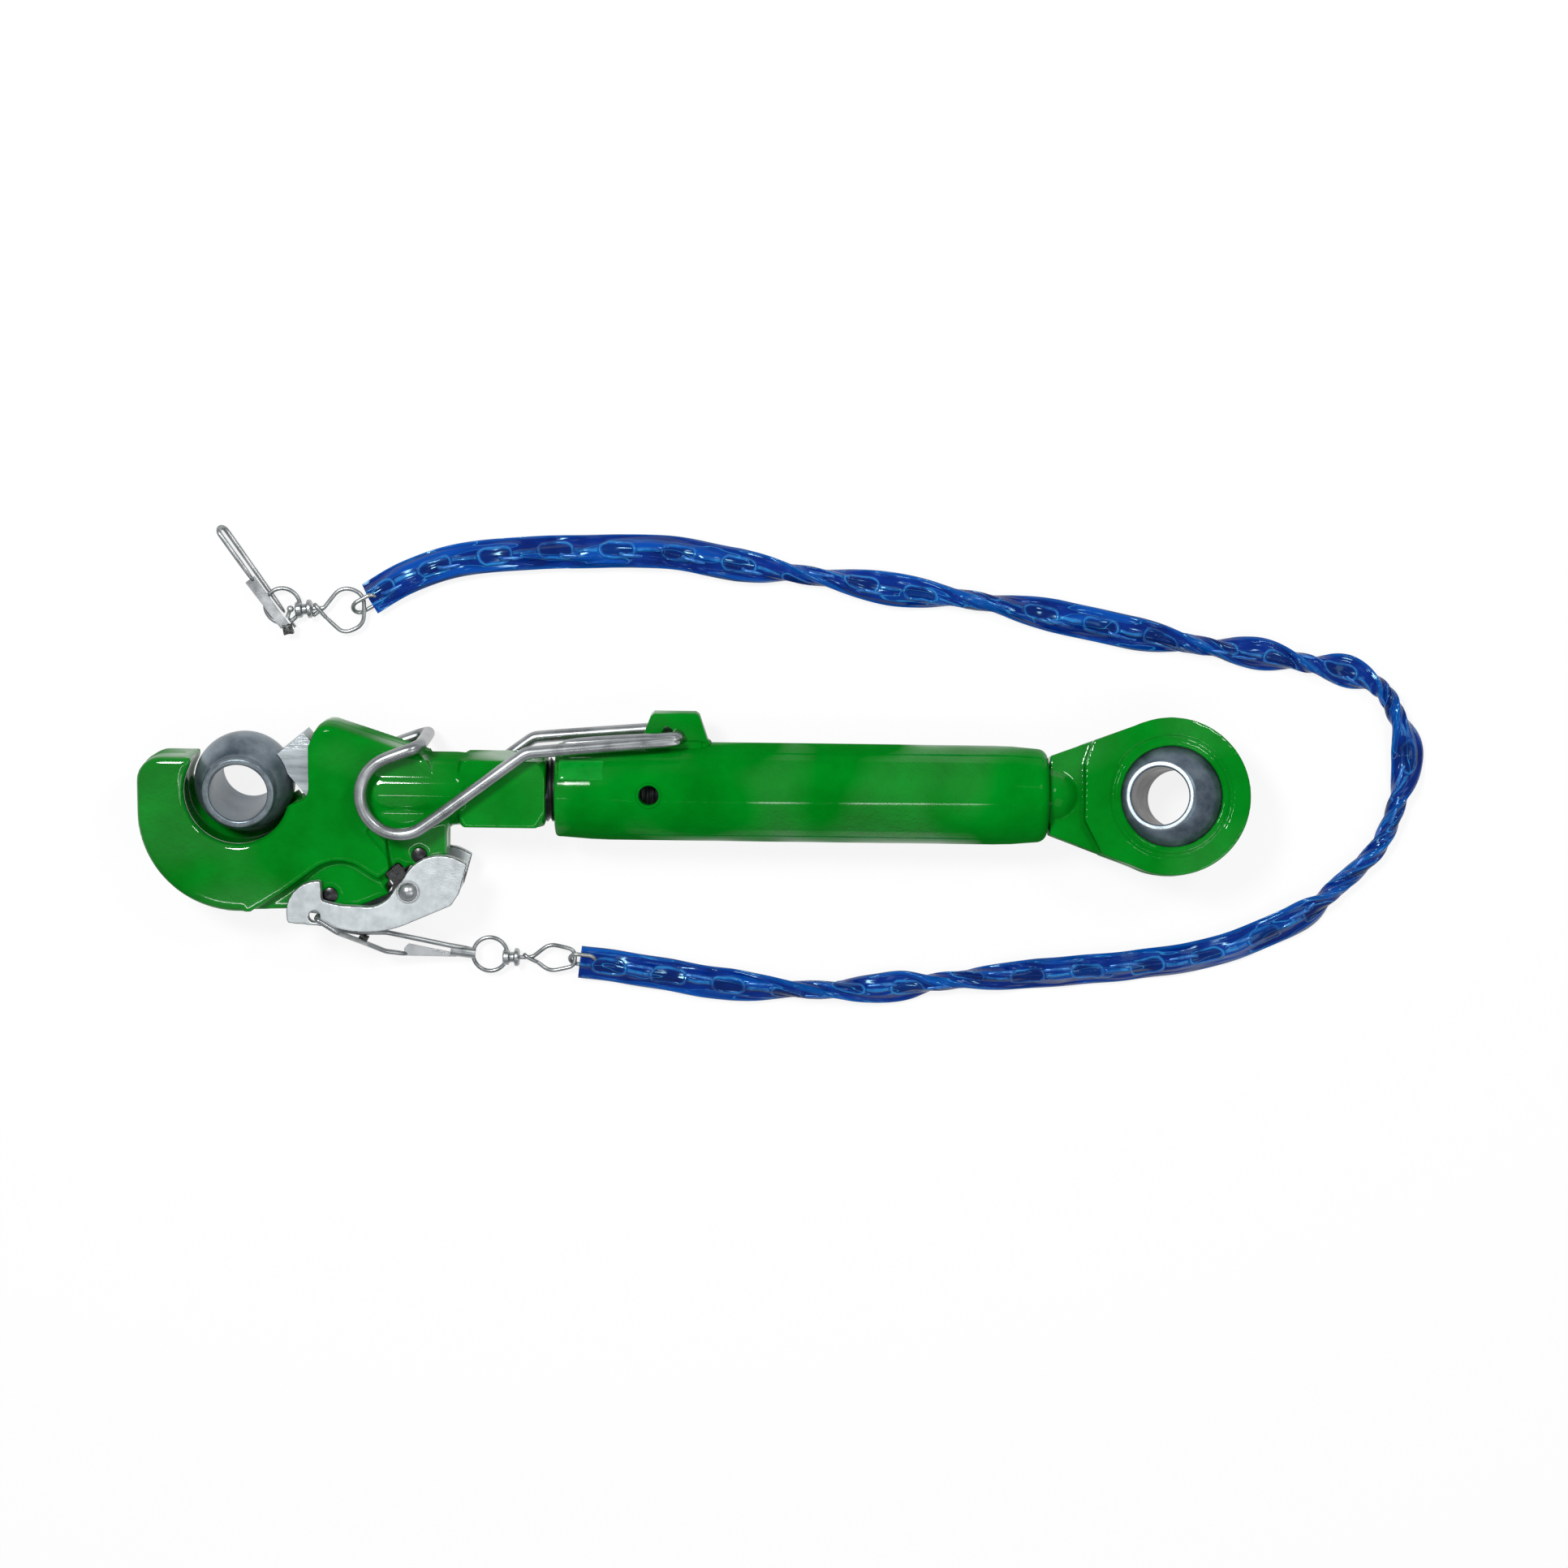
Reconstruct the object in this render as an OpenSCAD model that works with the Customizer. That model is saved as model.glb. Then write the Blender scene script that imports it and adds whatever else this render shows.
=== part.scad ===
// Tractor top link with an automatic hook, lying on its side on a flat surface.
// X runs along the link from the hook (-X) to the eye (+X), Z is up, 0 is the centre of the eye ball.

/* [Top link] */
// Distance between the two ball centres with the turnbuckle screwed in
link_len = 517; // [505:1:560]
// Pin hole through both balls
pin_bore = 32.2; // [25.4:0.1:33]
// Height of the surface that the link lies on
floor_z = -31; // [-34:0.5:-31]

/* [Eye end] */
// Outside diameter of the eye
eye_d = 88; // [84:1:96]
// Thickness of the eye
eye_t = 35; // [32:1:36]
// Diameter of the eye ball
eye_ball_d = 64; // [60:1:64]
// Width of the eye ball over its flats
eye_ball_w = 51; // [46:1:52]
// Thickness of the flat neck between the eye and its screw
eye_neck_t = 20; // [16:1:28]
// Length of the dome where the screw runs out into the neck
eye_dome = 20; // [12:1:22]
// Radius of the lip that holds the ball in the eye
eye_lip = 2.4; // [1.5:0.1:3]
// Roll of the eye about the link's axis
eye_roll = -12; // [-15:1:15]
// Tilt of the eye ball in its socket
eye_tilt = -17; // [-20:1:20]

/* [Turnbuckle tube] */
// Outside diameter of the tube
tube_d = 55.4; // [54:0.2:58]
// Outside diameter of the swaged tube ends
tube_end_d = 52.4; // [51:0.2:53]
// Distance from the eye ball to the tube
tube_gap = 68; // [64:1:72]
// Gap between the tube and the hook's neck
neck_gap = 5; // [3:0.5:8]
// Length of the threaded bore at each end
thread_len = 48; // [40:1:60]
// Bore between the threads
tube_bore = 43; // [40:1:45]
// Outside diameter of both screws
screw_d = 36; // [34:1:37]
// Length of screw that sits inside each tube end
screw_in = 100; // [90:1:110]
// Diameter of the sight hole
sight_d = 12; // [8:1:14]
// Distance of the sight hole from the hook end of the tube
sight_x = 52.5; // [50:0.5:56]

/* [Hook] */
// Diameter of the guide ball
guide_ball_d = 56; // [52:1:56]
// Width of the guide ball over its collars
guide_ball_w = 51; // [46:1:52]
// Diameter of the guide ball's collars
collar_d = 40; // [38:0.5:42]
// Tilt of the guide ball about the link's axis
guide_tilt = 6.5; // [-8:0.5:8]
// Thickness of the hook
hook_t = 36; // [34:1:38]
// Thickness of the web that the lever straddles
web_t = 22.8; // [20:0.2:23]
// Radius of the jaw's outer curve
jaw_r = 56; // [54:1:58]
// Radius of the throat at the hook's faces
throat_r = 29; // [28.5:0.5:30]
// How much wider the throat is at its middle
throat_dish = 2; // [1:0.5:3]
// Radius of the edges all round the hook
hook_edge = 4; // [2:0.5:5]
// Diameter of the round neck
neck_d = 41; // [39:0.5:43]
// Width across the square on the neck
square_w = 38; // [36:0.5:40]

/* [Locking pawl] */
// Width of the pawl's square head
pawl_w = 21.6; // [20:0.2:22]
// Length of the pawl's square head
pawl_head = 44; // [40:1:46]
// Width of the rod end's neck
rod_neck_w = 9.4; // [9:0.2:12]
// Diameter of the pin that joins the rod end to the pawl
rod_pin_d = 3; // [2:0.1:3.4]
// Diameter of the pawl's shank
shank_d = 11; // [10:0.5:11.5]
// Travel of the pawl when the lever is pulled
pawl_travel = 18; // [14:1:18]
// Outside diameter of the pawl spring
spring_d = 17; // [17:0.2:18.6]
// Wire of the pawl spring
spring_wire = 2.2; // [1.6:0.1:2.4]
// Coils of the pawl spring
spring_coils = 7; // [5:1:7]

/* [Release lever] */
// Thickness of the lever's plate
lever_plate = 5; // [4:0.5:6]
// Diameter of the lever pin
lever_pin_d = 8; // [6:0.5:9]
// Radius of the claw at the lever's free end
claw_r = 18.6; // [17:0.2:20]
// Radius of the cam lobe
lobe_r = 22.8; // [22:0.2:23.4]
// Diameter of the hole for the chain's hook
snap_hole_d = 6.4; // [5.8:0.2:8]

/* [Lock bail] */
// Wire of the lock bail
bail_wire = 7; // [6:0.5:7.5]
// Distance between the centres of the bail's two sides
bail_span = 54.6; // [52:0.2:54.6]
// Radius of the bend at the bail's free end
bail_bend = 22; // [20:0.5:24]
// Thickness of the bracket that carries the bail
bracket_t = 12; // [8:0.5:14]
// Height of the bracket above the tube's centre
bracket_h = 44.6; // [43:0.2:50]

/* [Pull chain] */
// Wire of the snap hooks
snap_wire = 2.6; // [2:0.2:2.8]
// Wire of the rings, swivels and end links
ring_wire = 2.4; // [1.8:0.2:2.6]
// Outside diameter of the swivel rings
ring_d = 22; // [20:1:24]
// Width of the flat sleeve
sleeve_w = 19; // [16:1:22]
// Height of the sleeve
sleeve_h = 9.4; // [7:0.2:9.8]
// Width and height of the sleeve where it is twisted
sleeve_twist = 9.6; // [9:0.2:12]

/* [Hidden] */
$fn = 64;
// Gap between faces of bodies that move on each other
slide = 0.3;
// Radial clearance of pins and screws in their holes
fit = 0.08;

GREEN = "#00801c";
ZINC = "#b9bfc4";
STEEL = "#9aa0a6";
BLACK = "#15161a";
BLUE = "#0a3fa0";

// ---------- shared geometry ----------

// Points along an arc, angles in degrees
function arc(c, r, a0, a1, n = 8) = [
    for (i = [0:n]) c + r * [cos(a0 + (a1 - a0) * i / n), sin(a0 + (a1 - a0) * i / n)]
];
function unit(v) = v / norm(v);
// Corner of the two tangents of a circle that is travelled clockwise from heading h0 to h1
function corner(c, r, h0, h1) =
    c + r / cos((h0 - h1) / 2) * [cos((h0 + h1) / 2 + 90), sin((h0 + h1) / 2 + 90)];

// Places its children with their Z axis along z and their X axis along x, at p
module along(p, z, x) {
    zz = unit(z);
    yy = unit(cross(zz, x));
    xx = cross(yy, zz);
    multmatrix([
        [xx[0], yy[0], zz[0], p[0]],
        [xx[1], yy[1], zz[1], p[1]],
        [xx[2], yy[2], zz[2], p[2]],
        [0, 0, 0, 1]
    ])
        children();
}

// A direction that isn't parallel to v
function aside(v) = abs(unit(v)[2]) < 0.9 ? [0, 0, 1] : [1, 0, 0];

module rod(p, q, r) {
    along(p, q - p, aside(q - p)) cylinder(h = norm(q - p), r = r);
}

// Points and headings along a bent wire, with a bend of radius b[i] at each inner point i
function bend_cut(p, b, i) = i == 0 || i == len(p) - 1 ? 0 :
    b[i] / tan(acos(unit(p[i - 1] - p[i]) * unit(p[i + 1] - p[i])) / 2);
function straight(p, b, i) = norm(p[i + 1] - p[i]) - bend_cut(p, b, i) - bend_cut(p, b, i + 1);
function spine(p, b) = let (n = len(p)) concat(
    [[p[0], unit(p[1] - p[0])]],
    [for (i = [1:n - 2])
        let (u = unit(p[i - 1] - p[i]), v = unit(p[i + 1] - p[i]), half = acos(u * v) / 2,
            c = p[i] + unit(u + v) * b[i] / sin(half), e = unit(p[i] + u * bend_cut(p, b, i) - c),
            turn = 180 - 2 * half, steps = max(2, ceil(turn / 16)))
            for (j = [straight(p, b, i - 1) < 0.05 ? 1 : 0:steps])
                let (a = turn * j / steps)
                    [c + b[i] * (cos(a) * e - sin(a) * u), -sin(a) * e - cos(a) * u]],
    [[p[n - 1], unit(p[n - 1] - p[n - 2])]]
);
function squared(n, t) = unit(n - (n * t) * t);

// Closed skin over rings of k points each
module skin(points, n, k) polyhedron(points, concat(
    [[for (j = [0:k - 1]) j]],
    [for (i = [0:n - 2]) for (j = [0:k - 1])
        let (a = i * k + j, b = i * k + (j + 1) % k) each [[a, a + k, b], [b, a + k, b + k]]],
    [[for (j = [k - 1:-1:0]) (n - 1) * k + j]]
));

// Round wire of radius r through points, with k sides
module wire(pts, r, b, k = 8) {
    s = spine(pts, b);
    n = len(s);
    first = squared(aside(s[0][1]), s[0][1]);
    sides = [for (i = 0, v = first; i < n; i = i + 1, v = squared(v, s[min(i, n - 1)][1])) v];
    skin([
        for (i = [0:n - 1]) for (j = [0:k - 1])
            s[i][0] + r * (cos(360 * j / k) * sides[i] + sin(360 * j / k) * cross(s[i][1], sides[i]))
    ], n, k);
}

// Oval link of round wire, lying flat, as long and wide as given over its outside
module oval_link(l, w, d) {
    for (s = [-1, 1]) {
        translate([s * (l - w) / 2, 0, 0])
            rotate([0, 0, s > 0 ? -90 : 90])
                rotate_extrude(angle = 180) translate([(w - d) / 2, 0]) circle(d / 2, $fn = 24);
        rod([-(l - w) / 2, s * (w - d) / 2, 0], [(l - w) / 2, s * (w - d) / 2, 0], d / 2);
    }
}

tube_r = tube_d / 2;
end_r = tube_end_d / 2;

// ---------- eye end ----------

eye_r = eye_d / 2;
neck_h = 22;
step_x = -48;
socket_r = eye_ball_d / 2 + 0.3;
// Edge of the socket where it opens in the eye's face
lip_r = sqrt(socket_r * socket_r - eye_t * eye_t / 4);

module eye_outline() {
    px = -tube_gap + 1;
    far = sqrt(px * px + neck_h * neck_h);
    touch = 180 - atan(neck_h / -px) - acos(eye_r / far);
    circle(eye_r, $fn = 96);
    polygon([
        [px, -neck_h], (eye_r - 0.2) * [cos(touch), -sin(touch)],
        (eye_r - 0.2) * [cos(touch), sin(touch)], [px, neck_h]
    ]);
}

module eye_rod() color(GREEN) {
    rotate([eye_roll, 0, 0]) difference() {
        union() {
            translate([0, 0, -eye_neck_t / 2]) linear_extrude(eye_neck_t) eye_outline();
            translate([0, 0, -eye_t / 2]) linear_extrude(eye_t) intersection() {
                eye_outline();
                polygon([
                    [step_x, -14], [step_x + 16, -eye_r], [eye_r + 1, -eye_r],
                    [eye_r + 1, eye_r], [step_x + 9, eye_r], [step_x, 18]
                ]);
            }
        }
        sphere(socket_r, $fn = 96);
        // Rounded lip and the groove left by rolling it over the ball
        for (s = [0, 1])
            mirror([0, 0, s]) translate([0, 0, eye_t / 2]) rotate_extrude($fn = 96) {
                polygon(concat(
                    [[lip_r - 2, 1], [lip_r - 2, -eye_lip]],
                    arc([lip_r + 0.2 + eye_lip, -eye_lip], eye_lip, 180, 90, 5),
                    [[lip_r + 0.2 + eye_lip, 1]]
                ));
                translate([lip_r + 5.8, 0.3]) circle(1.5, $fn = 24);
            }
    }
    // Screw with a chamfered end, and a domed root that runs out into the neck
    along([-tube_gap - screw_in, 0, 0], [1, 0, 0], [0, 0, 1]) rotate_extrude() polygon(concat(
        [[0, 0], [screw_d / 2 - 2, 0], [screw_d / 2, 2], [screw_d / 2, screw_in]],
        [for (a = [0:10:90]) [(screw_d / 2 - 0.5) * cos(a), screw_in + eye_dome * sin(a)]]
    ));
}

// Ball with a pin hole, flats or collars at both ends
module pin_ball(d, w, collar) {
    difference() {
        union() {
            intersection() {
                sphere(d = d, $fn = 96);
                cylinder(h = w, r = d, center = true);
            }
            if (collar > 0) cylinder(h = w, d = collar, center = true);
        }
        cylinder(h = w + 2, d = pin_bore, center = true);
    }
}

module eye_ball() color(STEEL)
    rotate([eye_roll, 0, 0]) rotate([0, eye_tilt, 0]) pin_ball(eye_ball_d, eye_ball_w, 0);

// ---------- turnbuckle tube ----------

hook_x = -link_len;
square_x0 = hook_x + 121.5;
square_x1 = hook_x + 169.5;
tube_x = square_x1 + neck_gap;
tube_len = -tube_gap - tube_x;
round_r = min(6, end_r - screw_d / 2 - 2.2);
swage = 24;

module turnbuckle_tube() color(GREEN) difference() {
    along([tube_x, 0, 0], [1, 0, 0], [0, 0, 1]) rotate_extrude($fn = 96) polygon(concat(
        [[screw_d / 2 + fit, thread_len], [screw_d / 2 + fit, 1.5], [screw_d / 2 + 1.5, 0]],
        arc([end_r - 2, 2], 2, -90, 0, 4),
        [[end_r + 0.2, 6], [tube_r - 0.3, swage - 4], [tube_r, swage + 6]],
        [[tube_r, tube_len - swage - 6], [tube_r - 0.3, tube_len - swage + 4]],
        arc([end_r - round_r, tube_len - round_r], round_r, 0, 90, 6),
        [[screw_d / 2 + 1.5, tube_len], [screw_d / 2 + fit, tube_len - 1.5]],
        [[screw_d / 2 + fit, tube_len - thread_len], [tube_bore / 2, tube_len - thread_len - 4]],
        [[tube_bore / 2, thread_len + 4]]
    ));
    translate([tube_x + sight_x, 2, 0]) cylinder(h = tube_d, d = sight_d);
}

// ---------- lock bail and its bracket ----------

pivot = [hook_x + 242.5, tube_r + 4.4];
bail_z = bail_span / 2;
bail_r = bail_wire / 2;
bail_eye = bail_wire + 2 * fit;
bail_tail_z = bracket_t / 2 + bail_r + 4.2;

module bail_bracket() color(GREEN) difference() {
    union() {
        translate([0, 0, -bracket_t / 2]) linear_extrude(bracket_t) polygon([
            [pivot[0] - 22, tube_r - 6], [pivot[0] - 20.3, pivot[1] - 2],
            [pivot[0] - 15.4, bracket_h - 1.6], [pivot[0] - 13.6, bracket_h],
            [pivot[0] + 9.6, bracket_h], [pivot[0] + 11.6, bracket_h - 1.4],
            [pivot[0] + 19, tube_r - 6]
        ]);
        for (s = [-1, 1])
            translate([pivot[0] - 14, tube_r - 2, s * bracket_t / 2])
                rotate([0, 90, 0]) cylinder(h = 27, r = 4);
    }
    translate([pivot[0], pivot[1], 0]) cylinder(h = 40, d = bail_eye, center = true);
    translate([0, 0, -20]) linear_extrude(40) polygon([
        pivot + [-12, -2], pivot + [-7.4, 5.4], pivot + [-5.6, 5.4],
        pivot + [0, 1], pivot + [0, -2.6], pivot + [-8, -2.6]
    ]);
    along([tube_x - 1, 0, 0], [1, 0, 0], [0, 0, 1]) cylinder(h = tube_len, r = tube_r, $fn = 96);
}

// The bail's side runs down from its knee, round the free end and up to the crossbar
slant = 216.8;
rise = 20;
half_turn = (slant + rise) / 2;
loop_c = pivot + [-153, -9.8 - bail_bend];
knee = loop_c + bail_bend * [cos(slant + 90), sin(slant + 90)] - 71 * [cos(slant), sin(slant)];
cross_p = loop_c + bail_bend * [cos(rise + 90), sin(rise + 90)] + 20 * [cos(rise), sin(rise)];

module lock_bail() color(ZINC) {
    c1 = corner(loop_c, bail_bend, slant, half_turn);
    c2 = corner(loop_c, bail_bend, half_turn, rise);
    side = [knee, c1, c2, cross_p];
    pts = concat(
        [[pivot[0] + 2.8, pivot[1], bail_tail_z + bail_wire + 0.6]],
        [for (p = side) [p[0], p[1], bail_z]],
        [for (i = [3:-1:0]) [side[i][0], side[i][1], -bail_z]],
        [[pivot[0], pivot[1], -bail_z], [pivot[0], pivot[1], bail_tail_z]],
        [[pivot[0] - 65, pivot[1] - 4, bail_tail_z]]
    );
    wire(pts, bail_r, [0, 12, bail_bend, bail_bend, 8, 8, bail_bend, bail_bend, 12, 5, 4.4, 0], 12);
}

// ---------- hook ----------

// Everything on the hook is placed from the guide ball's centre line
ball_at = [hook_x, 2.8, 0];
throat_c = [hook_x - 2.5, -1];
jaw_c = [hook_x - 2, -13];
jaw_top = 18.5;
wall_x = hook_x + 37.5;
shoulder_c = [hook_x + 48.5, 28.3];
shoulder_r = 9.2;
shoulder_slope = 18.8;
neck_x = hook_x + 78;
screw_end = tube_x + screw_in;

// Pawl axis: a point on it at the pawl's free end, and its direction
pawl_at = [hook_x + 26.2, 25.1, 0];
pawl_a = -50.6;
module on_pawl(t, s = 0) {
    translate(pawl_at) rotate([0, 0, pawl_a]) translate([t, s, 0]) children();
}
function pawl_point(t, s = 0) = [
    pawl_at[0] + t * cos(pawl_a) - s * sin(pawl_a),
    pawl_at[1] + t * sin(pawl_a) + s * cos(pawl_a)
];
tunnel_end = pawl_head + pawl_travel + 2;
spring_end = 84;
spring_wall = 5;
eye_t0 = spring_end + spring_wall;
lever_t = 104.8;
rod_end_r = 9.6;
tongue_w = 6;
rod_pin_t = eye_t0 + 3.5;

jaw_corner = [hook_x - 44, jaw_top - 14];
jaw_corner_r = 14;
jaw_tip_x = hook_x - 27.5;
shoulder_end = [hook_x + 102, 20.3];

module hook_outline() polygon(concat(
    arc(jaw_corner, jaw_corner_r, 90, 180, 6),
    arc(jaw_c, jaw_r, 180, 275, 20),
    [[hook_x + 64, -66.5], [hook_x + 88, -56], [hook_x + 97, -44.5], [hook_x + 108, -44]],
    [[hook_x + 114, -38], [hook_x + 114, 0], shoulder_end],
    arc(shoulder_c, shoulder_r, 90 - shoulder_slope, 180, 8),
    [[wall_x, 26]],
    arc([wall_x - 6, 0.5], 6, 0, -60, 4),
    [[hook_x + 29, -7.1], [hook_x + 24.9, -7.7], throat_c],
    [[jaw_tip_x, 11.5], [jaw_tip_x, jaw_top]]
));

// What rounding takes off an edge at both faces, with the edge at x = 0
module edge_cut() for (s = [-1, 1]) polygon(concat(
    [[1, s * (hook_t / 2 + 1)], [-hook_edge, s * (hook_t / 2 + 1)]],
    arc([-hook_edge, s * (hook_t / 2 - hook_edge)], hook_edge, s * 90, 0, 5),
    [[1, s * (hook_t / 2 - hook_edge)]]
));
module round_line(p, q) {
    d = unit(q - p);
    along([p[0], p[1], 0], [d[0], d[1], 0], [d[1], -d[0], 0]) linear_extrude(norm(q - p)) edge_cut();
}
module round_arc(c, r, a0, a1)
    translate([c[0], c[1], 0]) rotate([0, 0, a0])
        rotate_extrude(angle = a1 - a0) translate([r, 0]) edge_cut();

// Ground left and right of the pawl where the hook is only as thick as its web
module web_area() {
    polygon(concat(
        [[hook_x - 10, -80], [hook_x + 5.4, -68.2], [hook_x + 22, -57.6]],
        arc([hook_x + 54, -60.5], 21.5, 125, 50, 8),
        [[hook_x + 76, -49], pawl_point(eye_t0), [hook_x + 90, -80]]
    ));
    polygon([
        [hook_x + 80, -26], [hook_x + 117, -14], [hook_x + 117, -60], [hook_x + 80, -60], pawl_point(eye_t0)
    ]);
}

module hook_body() color(GREEN) difference() {
    union() {
        translate([0, 0, -hook_t / 2]) linear_extrude(hook_t) hook_outline();
        along([neck_x, 0, 0], [1, 0, 0], [0, 0, 1]) cylinder(h = square_x0 + 2 - neck_x, d = neck_d);
        translate([neck_x, 0, 0]) sphere(d = neck_d);
        intersection() {
            translate([square_x0, -square_w / 2, -square_w / 2])
                cube([square_x1 - square_x0, square_w, square_w]);
            along([square_x0, 0, 0], [1, 0, 0], [0, 0, 1]) {
                cylinder(h = 3.01, r1 = square_w * 0.6, r2 = square_w * 0.72);
                translate([0, 0, 3]) cylinder(h = square_x1 - square_x0 - 9, r = square_w * 0.72);
                translate([0, 0, square_x1 - square_x0 - 6.01])
                    cylinder(h = 6.01, r1 = square_w * 0.72, r2 = square_w * 0.55);
            }
        }
        along([square_x1 - 1, 0, 0], [1, 0, 0], [0, 0, 1])
            cylinder(h = screw_end - square_x1 + 1, d = screw_d);
    }
    // Throat, dished so that the ball is kept in the middle
    translate([throat_c[0], throat_c[1], 0]) {
        rotate_extrude($fn = 96) polygon(concat(
            [[0, -hook_t / 2 - 1], [throat_r + hook_edge, -hook_t / 2 - 1]],
            arc([throat_r + hook_edge, hook_edge - hook_t / 2], hook_edge, 270, 180, 5),
            [for (i = [-2:2]) [throat_r + throat_dish * (1 - i * i / 9), i * (hook_t / 2 - hook_edge) / 3]],
            arc([throat_r + hook_edge, hook_t / 2 - hook_edge], hook_edge, 180, 90, 5),
            [[throat_r + hook_edge, hook_t / 2 + 1], [0, hook_t / 2 + 1]]
        ));
    }
    // Rounded edges of the jaw and of the shoulder
    round_line([jaw_tip_x, jaw_top], jaw_corner + [0, jaw_corner_r]);
    round_arc(jaw_corner, jaw_corner_r, 90, 180);
    round_line(jaw_corner - [jaw_corner_r, 0], jaw_c - [jaw_r, 0]);
    round_arc(jaw_c, jaw_r, 180, 273);
    shoulder_top = shoulder_c + shoulder_r * [sin(shoulder_slope), cos(shoulder_slope)];
    round_line(shoulder_end, shoulder_top);
    round_arc(shoulder_c, shoulder_r, 90 - shoulder_slope, 175);
    // Sunk web for the lever
    for (s = [-1, 1])
        translate([0, 0, s > 0 ? web_t / 2 : -web_t / 2 - 20]) linear_extrude(20) web_area();
    // Square way of the pawl, round way of its spring and hole for its shank
    on_pawl(-20, -pawl_w / 2 - slide) translate([0, 0, -pawl_w / 2 - slide])
        cube([tunnel_end + 20, pawl_w + 2 * slide, pawl_w + 2 * slide]);
    on_pawl(tunnel_end - 1) rotate([0, 90, 0]) cylinder(h = spring_end - tunnel_end + 1, d = spring_d + 1);
    on_pawl(spring_end - 1) rotate([0, 90, 0])
        cylinder(h = spring_wall + pawl_travel + 2, d = shank_d + 2 * fit);
    // Pocket of the pawl's rod end, with a slot for its neck
    on_pawl(eye_t0, -rod_neck_w / 2 - 0.6) translate([0, 0, -hook_t])
        cube([60, rod_neck_w + 1.2, 2 * hook_t]);
    on_pawl(lever_t - rod_end_r - 0.6, -rod_end_r - 0.6) translate([0, 0, -hook_t])
        cube([60, 2 * rod_end_r + 1.2, 2 * hook_t]);
    // Groove down each face, beside the pawl
    for (s = [-1, 1])
        on_pawl(64, 3.3) translate([0, 0, s * (hook_t / 2 + 3) - 5]) cube([26, 6.4, 10]);
    for (p = stop_pin_at) translate(p) cylinder(h = 40, d = stop_pin_d, center = true);
}

module guide_ball() color(STEEL)
    translate(ball_at) rotate([guide_tilt, 0, 0]) pin_ball(guide_ball_d, guide_ball_w, collar_d);

// ---------- locking pawl ----------

module locking_pawl() color(ZINC) difference() {
    union() {
        on_pawl(0, -pawl_w / 2) translate([0, 0, -pawl_w / 2]) cube([pawl_head, pawl_w, pawl_w]);
        on_pawl(pawl_head - 1) rotate([0, 90, 0]) cylinder(h = eye_t0 + 8 - pawl_head, d = shank_d);
    }
    translate(ball_at) sphere(d = guide_ball_d + 2 * slide, $fn = 96);
    on_pawl(rod_pin_t) cylinder(h = 60, d = rod_pin_d, center = true);
    // Tongue that the rod end is pinned on
    for (s = [0, 1])
        on_pawl(eye_t0 + 0.6) mirror([0, s, 0]) translate([0, tongue_w / 2, -10]) cube([12, 10, 20]);
}

module pawl_rod_end() color(ZINC) difference() {
    union() {
        on_pawl(lever_t) cylinder(h = web_t, r = rod_end_r, center = true);
        on_pawl(eye_t0 + 0.6, -rod_neck_w / 2) translate([0, 0, -web_t / 2])
            cube([lever_t - eye_t0 - 0.6, rod_neck_w, web_t]);
    }
    on_pawl(lever_t) cylinder(h = 60, d = lever_pin_d, center = true);
    on_pawl(eye_t0 - 1, -tongue_w / 2) translate([0, 0, -shank_d / 2]) cube([9.2, tongue_w, shank_d]);
    on_pawl(rod_pin_t) cylinder(h = 60, d = rod_pin_d, center = true);
}

module rod_end_pin() color(ZINC)
    on_pawl(rod_pin_t) cylinder(h = web_t + 0.6, d = rod_pin_d, center = true);

spring_len = spring_end - pawl_head;
spring_ring = 6;
spring_steps = 8;
// Centre of the spring's wire after turn u of the whole coil
function coil(u) = [
    (spring_d - spring_wire) / 2 * cos(360 * u), (spring_d - spring_wire) / 2 * sin(360 * u),
    spring_wire / 2 + 0.1 + (spring_len - spring_wire - 0.2) * u / spring_coils
];
module pawl_spring() color(STEEL) {
    n = spring_coils * spring_steps;
    points = [
        for (i = [0:n]) let (u = i / spring_steps, p = coil(u), o = [cos(360 * u), sin(360 * u), 0])
            for (k = [0:spring_ring - 1])
                p + spring_wire / 2 * (cos(60 * k) * o + sin(60 * k) * [0, 0, 1])
    ];
    on_pawl(pawl_head) rotate([0, 90, 0]) skin(points, n + 1, spring_ring);
}

// ---------- release lever ----------

stop_pin_d = 8.4;
stop_pin_at = [[hook_x + 48.4, -59.8, 0], [hook_x + 98.5, -36.5, 0]];
cheek_in = web_t / 2 + 1;
cheek_out = cheek_in + lever_plate;
lever_p = pawl_point(lever_t);
claw_c = lever_p + [-49.7, -13.1];
lobe_c = lever_p + [18.3, -2.1];
belly_c = lever_p + [-24.7, 35.9];
belly_r = 59.7;
inner_c = lever_p + [-22.7, 6.9];
inner_r = 16;
snap_at = lever_p + [-52.5, -15];

module cheek_outline() polygon(concat(
    arc(claw_c, claw_r, 87, 198, 10),
    [claw_c + [0.5, -7.3]],
    arc(belly_c, belly_r, 256, 296, 10),
    [lever_p + [23.9, -7.9], lever_p + [28.4, -0.9], lever_p + [33, 16]],
    arc(lobe_c, lobe_r, 54, 156, 10),
    arc(inner_c, inner_r, -22, -98, 8),
    [lever_p + [-37.8, -8.3], lever_p + [-44.5, -6.9], lever_p + [-48.2, -5.8]]
));

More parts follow.
